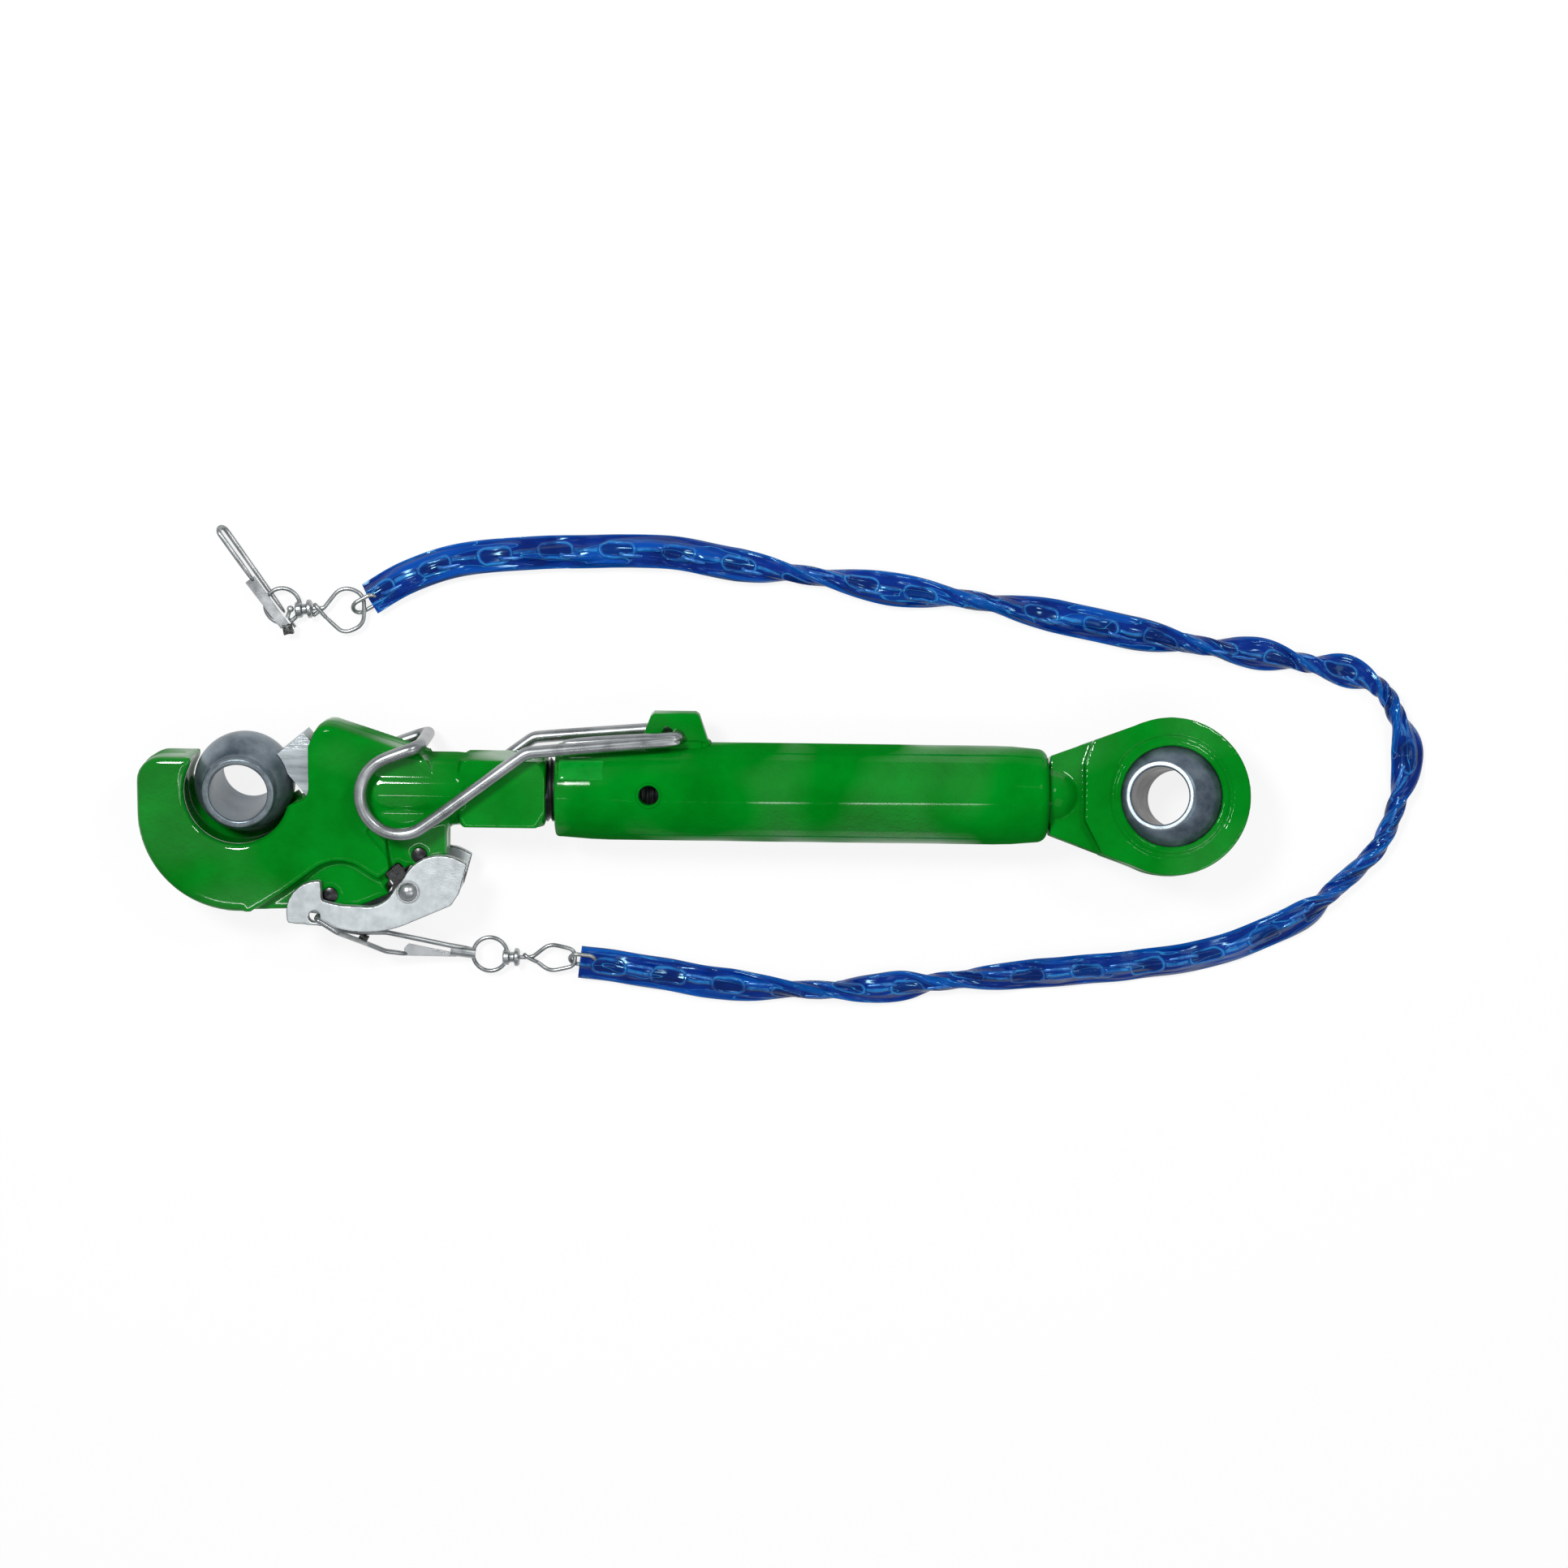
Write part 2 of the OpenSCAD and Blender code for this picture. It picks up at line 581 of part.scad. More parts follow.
module release_lever() color(ZINC) difference() {
    union() {
        for (s = [-1, 1])
            translate([0, 0, s > 0 ? cheek_in : -cheek_out]) linear_extrude(lever_plate) cheek_outline();
        // Back of the channel, along the lever's outer edge
        translate([0, 0, -cheek_in - 1]) linear_extrude(2 * cheek_in + 2) intersection() {
            cheek_outline();
            difference() {
                translate(lever_p + [-34, -40]) square([62, 50]);
                translate(belly_c) circle(belly_r - lever_plate, $fn = 96);
            }
        }
    }
    translate(lever_p) cylinder(h = 60, d = lever_pin_d + 2 * fit, center = true);
    for (s = [-1, 1])
        translate([snap_at[0], snap_at[1], s * (cheek_in + lever_plate / 2)])
            cylinder(h = lever_plate + 2, d = snap_hole_d, center = true);
}

washer_t = 1;
washer_d = 13;
module lever_pin() color(STEEL) {
    head = cheek_out + washer_t;
    translate([lever_p[0], lever_p[1], 0]) {
        cylinder(h = 2 * head, d = lever_pin_d, center = true);
        for (s = [-1, 1]) intersection() {
            translate([0, 0, s * (head - 2.6)]) sphere(d = 12);
            translate([0, 0, s * (head + 2)]) cylinder(h = 4, d = 12, center = true);
        }
    }
}

module lever_washers() color(STEEL)
    for (s = [-1, 1])
        translate([lever_p[0], lever_p[1], s > 0 ? cheek_out : -cheek_out - washer_t]) difference() {
            cylinder(h = washer_t, d = washer_d);
            translate([0, 0, -1]) cylinder(h = 3, d = lever_pin_d);
        }

module stop_pins() color(BLACK)
    for (p = stop_pin_at) translate(p) {
        cylinder(h = web_t, d = stop_pin_d, center = true);
        for (s = [-1, 1]) translate([0, 0, s * web_t / 2]) intersection() {
            translate([0, 0, -s * 12.2]) sphere(r = 12.9);
            cylinder(h = 2, d = stop_pin_d, center = true);
        }
    }

// ---------- pull chain and its snap hooks ----------

chain_z = floor_z + 6.5;
wire_r = ring_wire / 2;
hook_r = snap_wire / 2;
low_ring = snap_at + [94.4, -29.8];
up_ring = [hook_x + 18.5, 98.6];

function at_snap(x, y, z) = [snap_at[0] + x, snap_at[1] + y, z];
function at_up(x, y, z) = [up_ring[0] + x, up_ring[1] + y, chain_z + z];

// Flat strap from p to q, w0 and w1 wide at its ends
module strap(p, q, w0, w1, t) {
    l = norm(q - p);
    along(p, [0, 0, 1], q - p) translate([0, 0, -t / 2]) linear_extrude(t)
        polygon([[0, -w0 / 2], [l, -w1 / 2], [l, w1 / 2], [0, w0 / 2]]);
}

// The wire lies against the edge of the lever's hole
snap_x = (snap_hole_d / 2 - hook_r - slide) * 0.86;
snap_y = (snap_hole_d / 2 - hook_r - slide) * -0.51;

module lower_snap_hook() color(ZINC) wire([
    at_snap(85, -27.2, chain_z), at_snap(70.8, -23.9, chain_z + 4), at_snap(37, -15, -12),
    at_snap(22, -13, -2), at_snap(10, -9.5, 7), at_snap(snap_x, snap_y, 8),
    at_snap(snap_x, snap_y, cheek_out + hook_r + 1.5), at_snap(13, -8.5, cheek_out + hook_r + 0.5),
    at_snap(26, -20, -5), at_snap(36, -26, -12), at_snap(48, -28.6, -17)
], hook_r, [0, 12, 12, 12, 7, 4, 2.5, 4, 8, 8, 0]);

module lower_snap_gate() color(ZINC) {
    along(at_snap(46, -26.2, -17.5), [0.18, 0, 1], [0.97, -0.09, -0.18])
        translate([0, 0, -0.6]) linear_extrude(1.2)
            polygon([[0, -3.4], [30, -2.2], [30, 0.6], [26, 0.4], [2.4, 3.8], [0, 1]]);
    rod(at_snap(72, -27.2, chain_z + 2), at_snap(86, -29.2, chain_z + 0.4), 3.2);
}

module snap_ring(p) translate([p[0], p[1], chain_z])
    rotate_extrude() translate([(ring_d - ring_wire) / 2, 0]) circle(wire_r, $fn = 24);
module lower_snap_ring() color(ZINC) snap_ring(low_ring);
module upper_snap_ring() color(ZINC) snap_ring(up_ring);

// Swivel between a ring and a pear link, a waisted barrel with two collars and a shank
module swivel(p, a) translate([p[0], p[1], chain_z]) rotate([0, 0, a]) rotate([0, 90, 0])
    rotate_extrude() polygon([
        [0, -3.8], [3.6, -3.8], [4.6, -3], [4.6, -0.4], [3, 0.4], [3, 2.6], [5.2, 3.2],
        [5.2, 5], [4.2, 5.8], [wire_r, 6], [wire_r, 9.8], [0, 9.8]
    ]);
module lower_swivel() color(ZINC) swivel(low_ring + [ring_d / 2, -1.6], 0);
module upper_swivel() color(ZINC) swivel(up_ring + [ring_d / 2, -2], 6);

low_pear = low_ring + [20, -1.6];
module lower_pear_link() color(ZINC) translate([low_pear[0], low_pear[1], chain_z])
    wire([
        [0, 0, 0], [4.5, 0.3, 0], [14, 8.2, 0], [28.5, 4.8, 0], [28.5, -4.8, 0], [14, -8.2, 0],
        [5.5, -1.4, 0]
    ], wire_r, [0, 5, 9, 4.4, 4.4, 9, 0]);

up_pear = up_ring + [20, -1];
module upper_pear_link() color(ZINC) translate([up_pear[0], up_pear[1], chain_z])
    wire([
        [0, 0, 0], [3, -0.5, 0], [13, 12.6, 0], [26, 8.5, 0], [25.6, -9.5, 0],
        [14, -14.5, 0], [3.5, -4.5, 0]
    ], wire_r, [0, 3, 9, 8, 8, 7, 0]);

link_l = 17;
link_w = 11;
module end_link(p, a) translate([p[0], p[1], chain_z]) rotate([0, 0, a]) rotate([38, 0, 0])
    oval_link(link_l, link_w, ring_wire);
low_start = low_pear + [33, -1];
up_end = up_pear + [26.5, 2.6];
module lower_end_link() color(ZINC) end_link(low_start, -6);
module upper_end_link() color(ZINC) end_link(up_end, 30);

// Route of the sleeve from the lower to the upper end, and where it is twisted (1)
route = [
    [-331, -105, 0], [-310, -107.5, 0], [-282, -111.5, 0], [-245, -117, 0], [-192, -119.5, 1],
    [-151, -117, 0], [-119, -113, 1], [-68, -108, 0], [-12, -102.5, 0], [34, -93.5, 0],
    [80, -73, 0], [100, -56, 1], [123, -32, 1], [133, -6, 1], [138, 22, 0],
    [130, 45, 1], [120, 60, 1], [101, 69, 0], [80, 73, 1], [51, 78.5, 0],
    [22, 82, 1], [-18, 89, 0], [-64, 98, 0], [-109, 106.5, 1], [-156, 112, 0],
    [-203, 119.5, 1], [-243, 124.5, 0], [-284, 131.5, 0], [-338, 131, 0], [-374, 128.5, 0],
    [-402, 124.5, 0], [-429, 115, 0], [-449.5, 103, 0]
];
sleeve_rings = 2;
sleeve_sides = 10;
// Points of the route follow the hook when the link is longer or shorter
function carried(p) = [p[0] + (hook_x + 517) * max(0, min(1, (50 - p[0]) / 380)), p[1], p[2]];
function knot(i) = carried(route[max(0, min(len(route) - 1, i))]);
// Smooth curve through the route's points
function along_route(u) =
    let (i = min(len(route) - 2, floor(u)), f = u - i,
        a = knot(i - 1), b = knot(i), c = knot(i + 1), d = knot(i + 2))
    0.5 * (2 * b + f * (c - a) + f * f * (2 * a - 5 * b + 4 * c - d) + f * f * f * (3 * b - a - 3 * c + d));

module chain_sleeve() color(BLUE) {
    n = (len(route) - 1) * sleeve_rings;
    path = [for (i = [0:n]) along_route(i / sleeve_rings)];
    points = [
        for (i = [0:n])
            let (p = path[i], q = path[min(n, i + 1)] - path[max(0, i - 1)],
                side = unit([-q[1], q[0], 0]), k = max(0, min(1, p[2])),
                w = sleeve_w + (sleeve_twist - sleeve_w) * k, h = sleeve_h + (sleeve_twist - sleeve_h) * k)
                for (j = [0:sleeve_sides - 1])
                    let (a = 360 * j / sleeve_sides)
                        [p[0], p[1], floor_z + 5] + w / 2 * cos(a) * side + [0, 0, h / 2 * sin(a)]
    ];
    skin(points, n + 1, sleeve_sides);
}

module upper_snap_hook() color(ZINC) wire([
    at_up(-15, 13.5, 4), at_up(-35.6, 42.6, 4), at_up(-33.1, 44.2, -3.4), at_up(1.5, -5.6, -3.2)
], hook_r, [0, 3.8, 3.8, 0]);

module upper_snap_gate() color(ZINC) {
    strap(at_up(-17.6, 15, 3.4), at_up(1.6, -11.2, 2.3), 6.2, 5, 1.2);
    along(at_up(2, -8.4, 0), [0.6, -0.8, 0], [0, 0, 1]) translate([0, 0, -2])
        cylinder(h = 8, d = 5.4);
    rod(at_up(2, -8.4, 1), at_up(4.6, -1.6, 1.6), 1.2);
    translate(at_up(4.6, -1.6, 1.6)) sphere(d = 4, $fn = 32);
}

// Clear width between two neighbouring turns of the pawl spring
echo(least_spring_gap = min([
    for (i = [0:spring_steps * (spring_coils - 1)])
        norm(coil((i + spring_steps) / spring_steps) - coil(i / spring_steps)) - spring_wire
]));

eye_rod();
eye_ball();
turnbuckle_tube();
bail_bracket();
lock_bail();
hook_body();
guide_ball();
locking_pawl();
pawl_rod_end();
rod_end_pin();
pawl_spring();
stop_pins();
release_lever();
lever_pin();
lever_washers();
lower_snap_hook();
lower_snap_gate();
lower_snap_ring();
lower_swivel();
lower_pear_link();
lower_end_link();
chain_sleeve();
upper_end_link();
upper_pear_link();
upper_swivel();
upper_snap_ring();
upper_snap_gate();
upper_snap_hook();
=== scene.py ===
import math
from functools import partial

import bmesh
import bpy
from mathutils import Matrix, Vector


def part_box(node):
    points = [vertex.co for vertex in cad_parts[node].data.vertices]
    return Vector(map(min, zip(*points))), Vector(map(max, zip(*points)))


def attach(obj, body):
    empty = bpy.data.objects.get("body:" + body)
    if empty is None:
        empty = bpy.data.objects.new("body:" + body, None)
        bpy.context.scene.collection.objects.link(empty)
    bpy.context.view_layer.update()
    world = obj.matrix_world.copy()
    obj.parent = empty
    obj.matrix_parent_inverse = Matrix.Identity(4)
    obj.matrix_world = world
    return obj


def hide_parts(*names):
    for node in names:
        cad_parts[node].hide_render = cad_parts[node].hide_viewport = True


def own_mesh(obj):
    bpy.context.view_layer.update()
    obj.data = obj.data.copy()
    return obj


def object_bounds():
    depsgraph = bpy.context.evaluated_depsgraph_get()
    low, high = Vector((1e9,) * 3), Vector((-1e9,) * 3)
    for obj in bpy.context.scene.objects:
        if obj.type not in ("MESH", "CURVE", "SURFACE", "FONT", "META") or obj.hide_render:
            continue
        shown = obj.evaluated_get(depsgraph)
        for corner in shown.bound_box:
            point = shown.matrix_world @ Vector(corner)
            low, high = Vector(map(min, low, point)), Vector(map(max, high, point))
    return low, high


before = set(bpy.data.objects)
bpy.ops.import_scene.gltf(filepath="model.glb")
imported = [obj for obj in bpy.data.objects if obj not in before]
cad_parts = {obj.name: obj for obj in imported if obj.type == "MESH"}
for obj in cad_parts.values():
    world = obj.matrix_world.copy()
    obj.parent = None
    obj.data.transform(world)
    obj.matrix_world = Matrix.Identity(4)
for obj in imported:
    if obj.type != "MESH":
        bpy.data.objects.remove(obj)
cad_box = [list(corner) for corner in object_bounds()]
MM = 0.001


# ---------------------------------------------------------------- camera
# The link is looked at from above, leaning ten degrees over its upper side,
# from far enough away that its two ends show at nearly the same size.
VIEW_LEAN = math.radians(10)
VIEW_ROLL = 0.0129
VIEW_DISTANCE = 1.8
VIEW_CENTRE = Vector((-0.2153, 0, 0))
VIEW_RISE = 0.0047
FRAME_PIXELS = 1932
PIXELS_PER_METRE = 2200

across = Vector((1, 0, 0))
upwards = Vector((0, math.cos(VIEW_LEAN), -math.sin(VIEW_LEAN)))
towards = across.cross(upwards)
right = across * math.cos(VIEW_ROLL) + upwards * math.sin(VIEW_ROLL)
top = upwards * math.cos(VIEW_ROLL) - across * math.sin(VIEW_ROLL)
camera = bpy.data.objects.new("camera", bpy.data.cameras.new("camera"))
bpy.context.scene.collection.objects.link(camera)
camera.matrix_world = Matrix.Translation(
    VIEW_CENTRE + VIEW_RISE * upwards + VIEW_DISTANCE * towards
) @ Matrix((right, top, towards)).transposed().to_4x4()
camera.data.sensor_width = 36
camera.data.sensor_fit = "HORIZONTAL"
camera.data.lens = 36 * PIXELS_PER_METRE * VIEW_DISTANCE / FRAME_PIXELS
bpy.context.scene.camera = camera


# ---------------------------------------------------------------- sleeve over the pull chain
# A thin blue plastic tube, pulled over a short-link chain, that lies in a loose loop round
# the link. It is flat over the chain, twisted where it has been pinched, and cut off square.
FLOOR = cad_box[0][2]
SLEEVE_CLEAR = 0.2 * MM
SLEEVE_WIDE = 19 * MM
SLEEVE_DEEP = 8.4 * MM
SLEEVE_PINCHED = 10 * MM
FILM = 0.35 * MM
# Points in mm along the sleeve: X, Y and whether it is pinched there
ROUTE = [
    (-331, -105, 0), (-310, -107.5, 0), (-282, -111.5, 0), (-245, -117, 0), (-192, -119.5, 1),
    (-151, -117, 0), (-119, -113, 1), (-68, -108, 0), (-12, -102.5, 0), (34, -93.5, 0),
    (80, -73, 0), (100, -56, 1), (123, -32, 1), (133, -6, 1), (138, 22, 0),
    (130, 45, 1), (120, 60, 1), (101, 69, 0), (80, 73, 1), (51, 78.5, 0),
    (22, 82, 1), (-18, 89, 0), (-64, 98, 0), (-109, 106.5, 1), (-156, 112, 0),
    (-203, 119.5, 1), (-243, 124.5, 0), (-284, 131.5, 0), (-338, 131, 0), (-374, 128.5, 0),
    (-402, 124.5, 0), (-429, 115, 0), (-449.5, 103, 0),
]
ROUTE_STEPS = 20
FILM_SIDES = 32
# Share of the sleeve's width that the chain lifts, and how deep its folds are
HUMP_SHARE = 0.55
PINCH_FOLD = 0.09
LONG_FOLD = 0.025
LINK_PITCH = 17.2 * MM
LINK_LONG = 21.5 * MM
LINK_WIDE = 11 * MM
LINK_WIRE = 2.5 * MM
# The marks that the links leave on the film, in mm, and the size of its long folds
MARK_SWAY = 1.7
LINK_STRAIGHT = 5.2
FOLDS_ALONG = 0.38
FOLDS_ROUND = 1.15


def curve_point(points, u):
    """A smooth curve through the points: its place at u, where a whole u is a point's number."""
    last = len(points) - 1
    i = min(last - 1, int(u))
    f = u - i
    a, b, c, d = (Vector(points[max(0, min(last, k))]) for k in (i - 1, i, i + 1, i + 2))
    square = f * f * (2 * a - 5 * b + 4 * c - d)
    cube = f**3 * (3 * b - a - 3 * c + d)
    return 0.5 * (2 * b + f * (c - a) + square + cube)


def sleeve_frame(u):
    """Plan position and heading of the sleeve at u, in metres, and its share of twist."""
    here = curve_point(ROUTE, u)
    step = curve_point(ROUTE, min(u + 0.02, len(ROUTE) - 1)) - curve_point(ROUTE, max(u - 0.02, 0))
    heading = Vector((step.x, step.y, 0)).normalized()
    return Vector((here.x * MM, here.y * MM, 0)), heading, max(0, min(1, here.z))


def wrap_tube(bm, rows, sides, place, run=None):
    """A grid rolled into a tube: place(t, a) gives the point at t (0 to 1) along, angle a round.
    With run, the UV map holds run(t) along and the share of the turn round."""
    grid = bmesh.ops.create_grid(bm, x_segments=rows, y_segments=sides, size=1)["verts"]
    if run:
        chart = bm.loops.layers.uv.new("along and round")
        for face in bm.faces:
            for corner in face.loops:
                flat = corner.vert.co
                corner[chart].uv = (run((flat.x + 1) / 2), (flat.y + 1) / 2)
    for vert in grid:
        vert.co = place((vert.co.x + 1) / 2, math.pi * (vert.co.y + 1))
    bmesh.ops.remove_doubles(bm, verts=grid, dist=0.00001)


def socket(group, name, kind, into=True, value=None):
    """An input or output of a node group."""
    way = "INPUT" if into else "OUTPUT"
    made = group.interface.new_socket(name=name, in_out=way, socket_type=kind)
    if value is not None:
        made.default_value = value


def node(tree, kind, at=(0, 0), **values):
    """A shader node; a value named in_X sets its input X, any other its own property."""
    made = tree.nodes.new(kind)
    made.location = at
    for name, value in values.items():
        if name.startswith("in_"):
            made.inputs[name[3:].replace("_", " ")].default_value = value
        else:
            setattr(made, name, value)
    return made


def make_clouds():
    """Two tones of one colour in clouds, and the mask that they follow."""
    group = bpy.data.node_groups.new("clouded tone", "ShaderNodeTree")
    socket(group, "Vector", "NodeSocketVector")
    socket(group, "Size", "NodeSocketFloat", value=40.0)
    socket(group, "Dark", "NodeSocketColor")
    socket(group, "Light", "NodeSocketColor")
    socket(group, "Color", "NodeSocketColor", into=False)
    socket(group, "Mask", "NodeSocketFloat", into=False)
    ins = node(group, "NodeGroupInput", (-700, 0))
    outs = node(group, "NodeGroupOutput", (500, 0))
    noise = node(group, "ShaderNodeTexNoise", (-450, 0), in_Detail=5.0, in_Roughness=0.6)
    spread = node(group, "ShaderNodeMapRange", (-200, 0), in_From_Min=0.32, in_From_Max=0.68)
    blend = node(group, "ShaderNodeMix", (150, 0), data_type="RGBA")
    link = group.links.new
    link(ins.outputs["Vector"], noise.inputs["Vector"])
    link(ins.outputs["Size"], noise.inputs["Scale"])
    link(noise.outputs["Fac"], spread.inputs["Value"])
    link(spread.outputs["Result"], blend.inputs[0])
    link(ins.outputs["Dark"], blend.inputs[6])
    link(ins.outputs["Light"], blend.inputs[7])
    link(blend.outputs[2], outs.inputs["Color"])
    link(spread.outputs["Result"], outs.inputs["Mask"])
    return group


def make_relief():
    """A fine and a coarse unevenness, mixed into one normal, that is stronger in some patches."""
    group = bpy.data.node_groups.new("fine relief", "ShaderNodeTree")
    socket(group, "Vector", "NodeSocketVector")
    socket(group, "Fine size", "NodeSocketFloat", value=900.0)
    socket(group, "Coarse size", "NodeSocketFloat", value=60.0)
    socket(group, "Fine share", "NodeSocketFloat", value=0.5)
    socket(group, "Strength", "NodeSocketFloat", value=0.1)
    socket(group, "Depth", "NodeSocketFloat", value=0.001)
    socket(group, "Normal", "NodeSocketVector", into=False)
    socket(group, "Patch", "NodeSocketFloat", into=False)
    ins = node(group, "NodeGroupInput", (-700, 0))
    outs = node(group, "NodeGroupOutput", (600, 0))
    fine = node(group, "ShaderNodeTexNoise", (-450, 150), in_Detail=3.0)
    coarse = node(group, "ShaderNodeTexNoise", (-450, -150), in_Detail=2.0)
    blend = node(group, "ShaderNodeMix", (0, 0), data_type="FLOAT")
    bump = node(group, "ShaderNodeBump", (300, 0))
    patches = node(group, "ShaderNodeTexNoise", (-450, -400), in_Scale=17.0, in_Detail=1.0)
    share = node(group, "ShaderNodeMapRange", (-200, -400), in_From_Min=0.48, in_From_Max=0.62)
    rough = node(group, "ShaderNodeMapRange", (0, -400), in_To_Min=0.25)
    strength = node(group, "ShaderNodeMath", (200, -400), operation="MULTIPLY")
    link = group.links.new
    link(ins.outputs["Vector"], patches.inputs["Vector"])
    link(patches.outputs["Fac"], share.inputs["Value"])
    link(share.outputs["Result"], rough.inputs["Value"])
    link(rough.outputs["Result"], strength.inputs[0])
    link(ins.outputs["Strength"], strength.inputs[1])
    for noise, size in ((fine, "Fine size"), (coarse, "Coarse size")):
        link(ins.outputs["Vector"], noise.inputs["Vector"])
        link(ins.outputs[size], noise.inputs["Scale"])
    link(ins.outputs["Fine share"], blend.inputs[0])
    link(coarse.outputs["Fac"], blend.inputs[2])
    link(fine.outputs["Fac"], blend.inputs[3])
    link(blend.outputs[0], bump.inputs["Height"])
    link(strength.outputs[0], bump.inputs["Strength"])
    link(ins.outputs["Depth"], bump.inputs["Distance"])
    link(bump.outputs["Normal"], outs.inputs["Normal"])
    link(share.outputs["Result"], outs.inputs["Patch"])
    return group


clouds = make_clouds()
relief = make_relief()


def blank_material(name, **shader):
    """A new material, its tree and its Principled shader with that shader's constants set."""
    made = bpy.data.materials.new(name)
    made.use_nodes = True
    surface = made.node_tree.nodes["Principled BSDF"]
    for key, value in shader.items():
        surface.inputs[key.replace("_", " ")].default_value = value
    return made, made.node_tree, surface


def finish(
    name, dark, light, cloud_size, rough, fine, coarse, fine_share, strength, depth,
    stretch=None, coat=None, **shader,
):
    """A material of two clouded tones, a roughness range and a fine relief. Sizes are in
    features per metre. stretch is a turn and a scale of its pattern, and coat the weight of
    its clear coat outside and inside the patches of stronger relief."""
    made, tree, surface = blank_material(name, **shader)
    link = tree.links.new
    place = node(tree, "ShaderNodeTexCoord", (-1100, 0)).outputs["Object"]
    drawn = place
    if stretch:
        turned = node(
            tree, "ShaderNodeMapping", (-900, -250), in_Rotation=stretch[0], in_Scale=stretch[1],
        )
        link(place, turned.inputs["Vector"])
        drawn = turned.outputs["Vector"]
    tone = node(
        tree, "ShaderNodeGroup", (-500, 200), node_tree=clouds,
        in_Size=cloud_size, in_Dark=(*dark, 1), in_Light=(*light, 1),
    )
    gloss = node(tree, "ShaderNodeMapRange", (-250, 0), in_To_Min=rough[0], in_To_Max=rough[1])
    skin = node(
        tree, "ShaderNodeGroup", (-500, -250), node_tree=relief, in_Fine_size=fine,
        in_Coarse_size=coarse, in_Fine_share=fine_share, in_Strength=strength, in_Depth=depth,
    )
    link(drawn, tone.inputs["Vector"])
    link(drawn, skin.inputs["Vector"])
    link(tone.outputs["Color"], surface.inputs["Base Color"])
    link(tone.outputs["Mask"], gloss.inputs["Value"])
    link(gloss.outputs["Result"], surface.inputs["Roughness"])
    link(skin.outputs["Normal"], surface.inputs["Normal"])
    if coat:
        weight = node(
            tree, "ShaderNodeMapRange", (-250, -450), in_To_Min=coat[0], in_To_Max=coat[1],
        )
        link(skin.outputs["Patch"], weight.inputs["Value"])
        link(weight.outputs["Result"], surface.inputs["Coat Weight"])
    return made


def new_piece(name, bm, material, body):
    """Ends a bmesh as an object of its own, at the origin, that rides on a body."""
    mesh = bpy.data.meshes.new(name)
    bm.to_mesh(mesh)
    bm.free()
    mesh.materials.append(material)
    mesh.shade_smooth()
    piece = bpy.data.objects.new(name, mesh)
    bpy.context.scene.collection.objects.link(piece)
    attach(piece, body)
    return piece


sleeve_steps = (len(ROUTE) - 1) * ROUTE_STEPS
sleeve_path = [sleeve_frame(step / ROUTE_STEPS) for step in range(sleeve_steps + 1)]
sleeve_run = [0.0]
for (here, _, _), (there, _, _) in zip(sleeve_path, sleeve_path[1:]):
    sleeve_run.append(sleeve_run[-1] + (there - here).length)
# The sleeve turns half round at each pinch: this counts the pinched steps so far
sleeve_turn = [0.0]
for (_, _, twist), (_, _, later) in zip(sleeve_path, sleeve_path[1:]):
    sleeve_turn.append(sleeve_turn[-1] + (twist + later) / 2)
PINCH_TURN = math.pi / ROUTE_STEPS


def film_section(step, a):
    """The film's outline across the sleeve, with the chain as a hump in its middle."""
    _, _, twist = sleeve_path[step]
    link = 0.5 + 0.5 * math.cos(math.pi * sleeve_run[step] / LINK_PITCH)
    wide = SLEEVE_WIDE + (SLEEVE_PINCHED - SLEEVE_WIDE) * twist
    deep = SLEEVE_DEEP * (0.85 + 0.3 * link) * (1 - twist) + SLEEVE_PINCHED * twist
    hump = 0.5 + 0.5 * math.exp(-((math.cos(a) / HUMP_SHARE) ** 2))
    hump = hump + (1 - hump) * twist
    pinched_folds = twist * PINCH_FOLD * math.cos(4 * a + 0.5)
    fold = 1 + pinched_folds + LONG_FOLD * math.cos(3 * a + 40 * sleeve_run[step])
    across = wide / 2 * math.cos(a) * fold
    up = deep / 2 * math.sin(a) * hump * fold
    turn = sleeve_turn[step] * PINCH_TURN
    return (
        across * math.cos(turn) - up * math.sin(turn),
        across * math.sin(turn) + up * math.cos(turn),
    )


def lowest(step):
    """How far the film's outline reaches below its centre."""
    return min(film_section(step, 2 * math.pi * k / FILM_SIDES)[1] for k in range(FILM_SIDES))


sleeve_base = [FLOOR + SLEEVE_CLEAR + FILM - lowest(step) for step in range(sleeve_steps + 1)]


def film_point(t, a):
    """The film's point at t (0 to 1) along and angle a round."""
    step = round(t * sleeve_steps)
    centre, heading, _ = sleeve_path[step]
    across, up = film_section(step, a)
    side = Vector((-heading.y, heading.x, 0))
    return centre + side * across + Vector((0, 0, sleeve_base[step] + up))


def shade(tree, kind, *sources):
    """A Math node of that kind, fed by sockets or plain numbers in order. Returns its output."""
    made = node(tree, "ShaderNodeMath", operation=kind)
    for way, source in zip(made.inputs, sources):
        if isinstance(source, (int, float)):
            way.default_value = source
        else:
            tree.links.new(source, way)
    return made.outputs[0]


def ramp(tree, source, start, end, low=0.0, high=1.0):
    """source mapped smoothly from start..end to low..high."""
    made = node(
        tree, "ShaderNodeMapRange", interpolation_type="SMOOTHSTEP",
        in_From_Min=start, in_From_Max=end, in_To_Min=low, in_To_Max=high,
    )
    tree.links.new(source, made.inputs["Value"])
    return made.outputs[0]


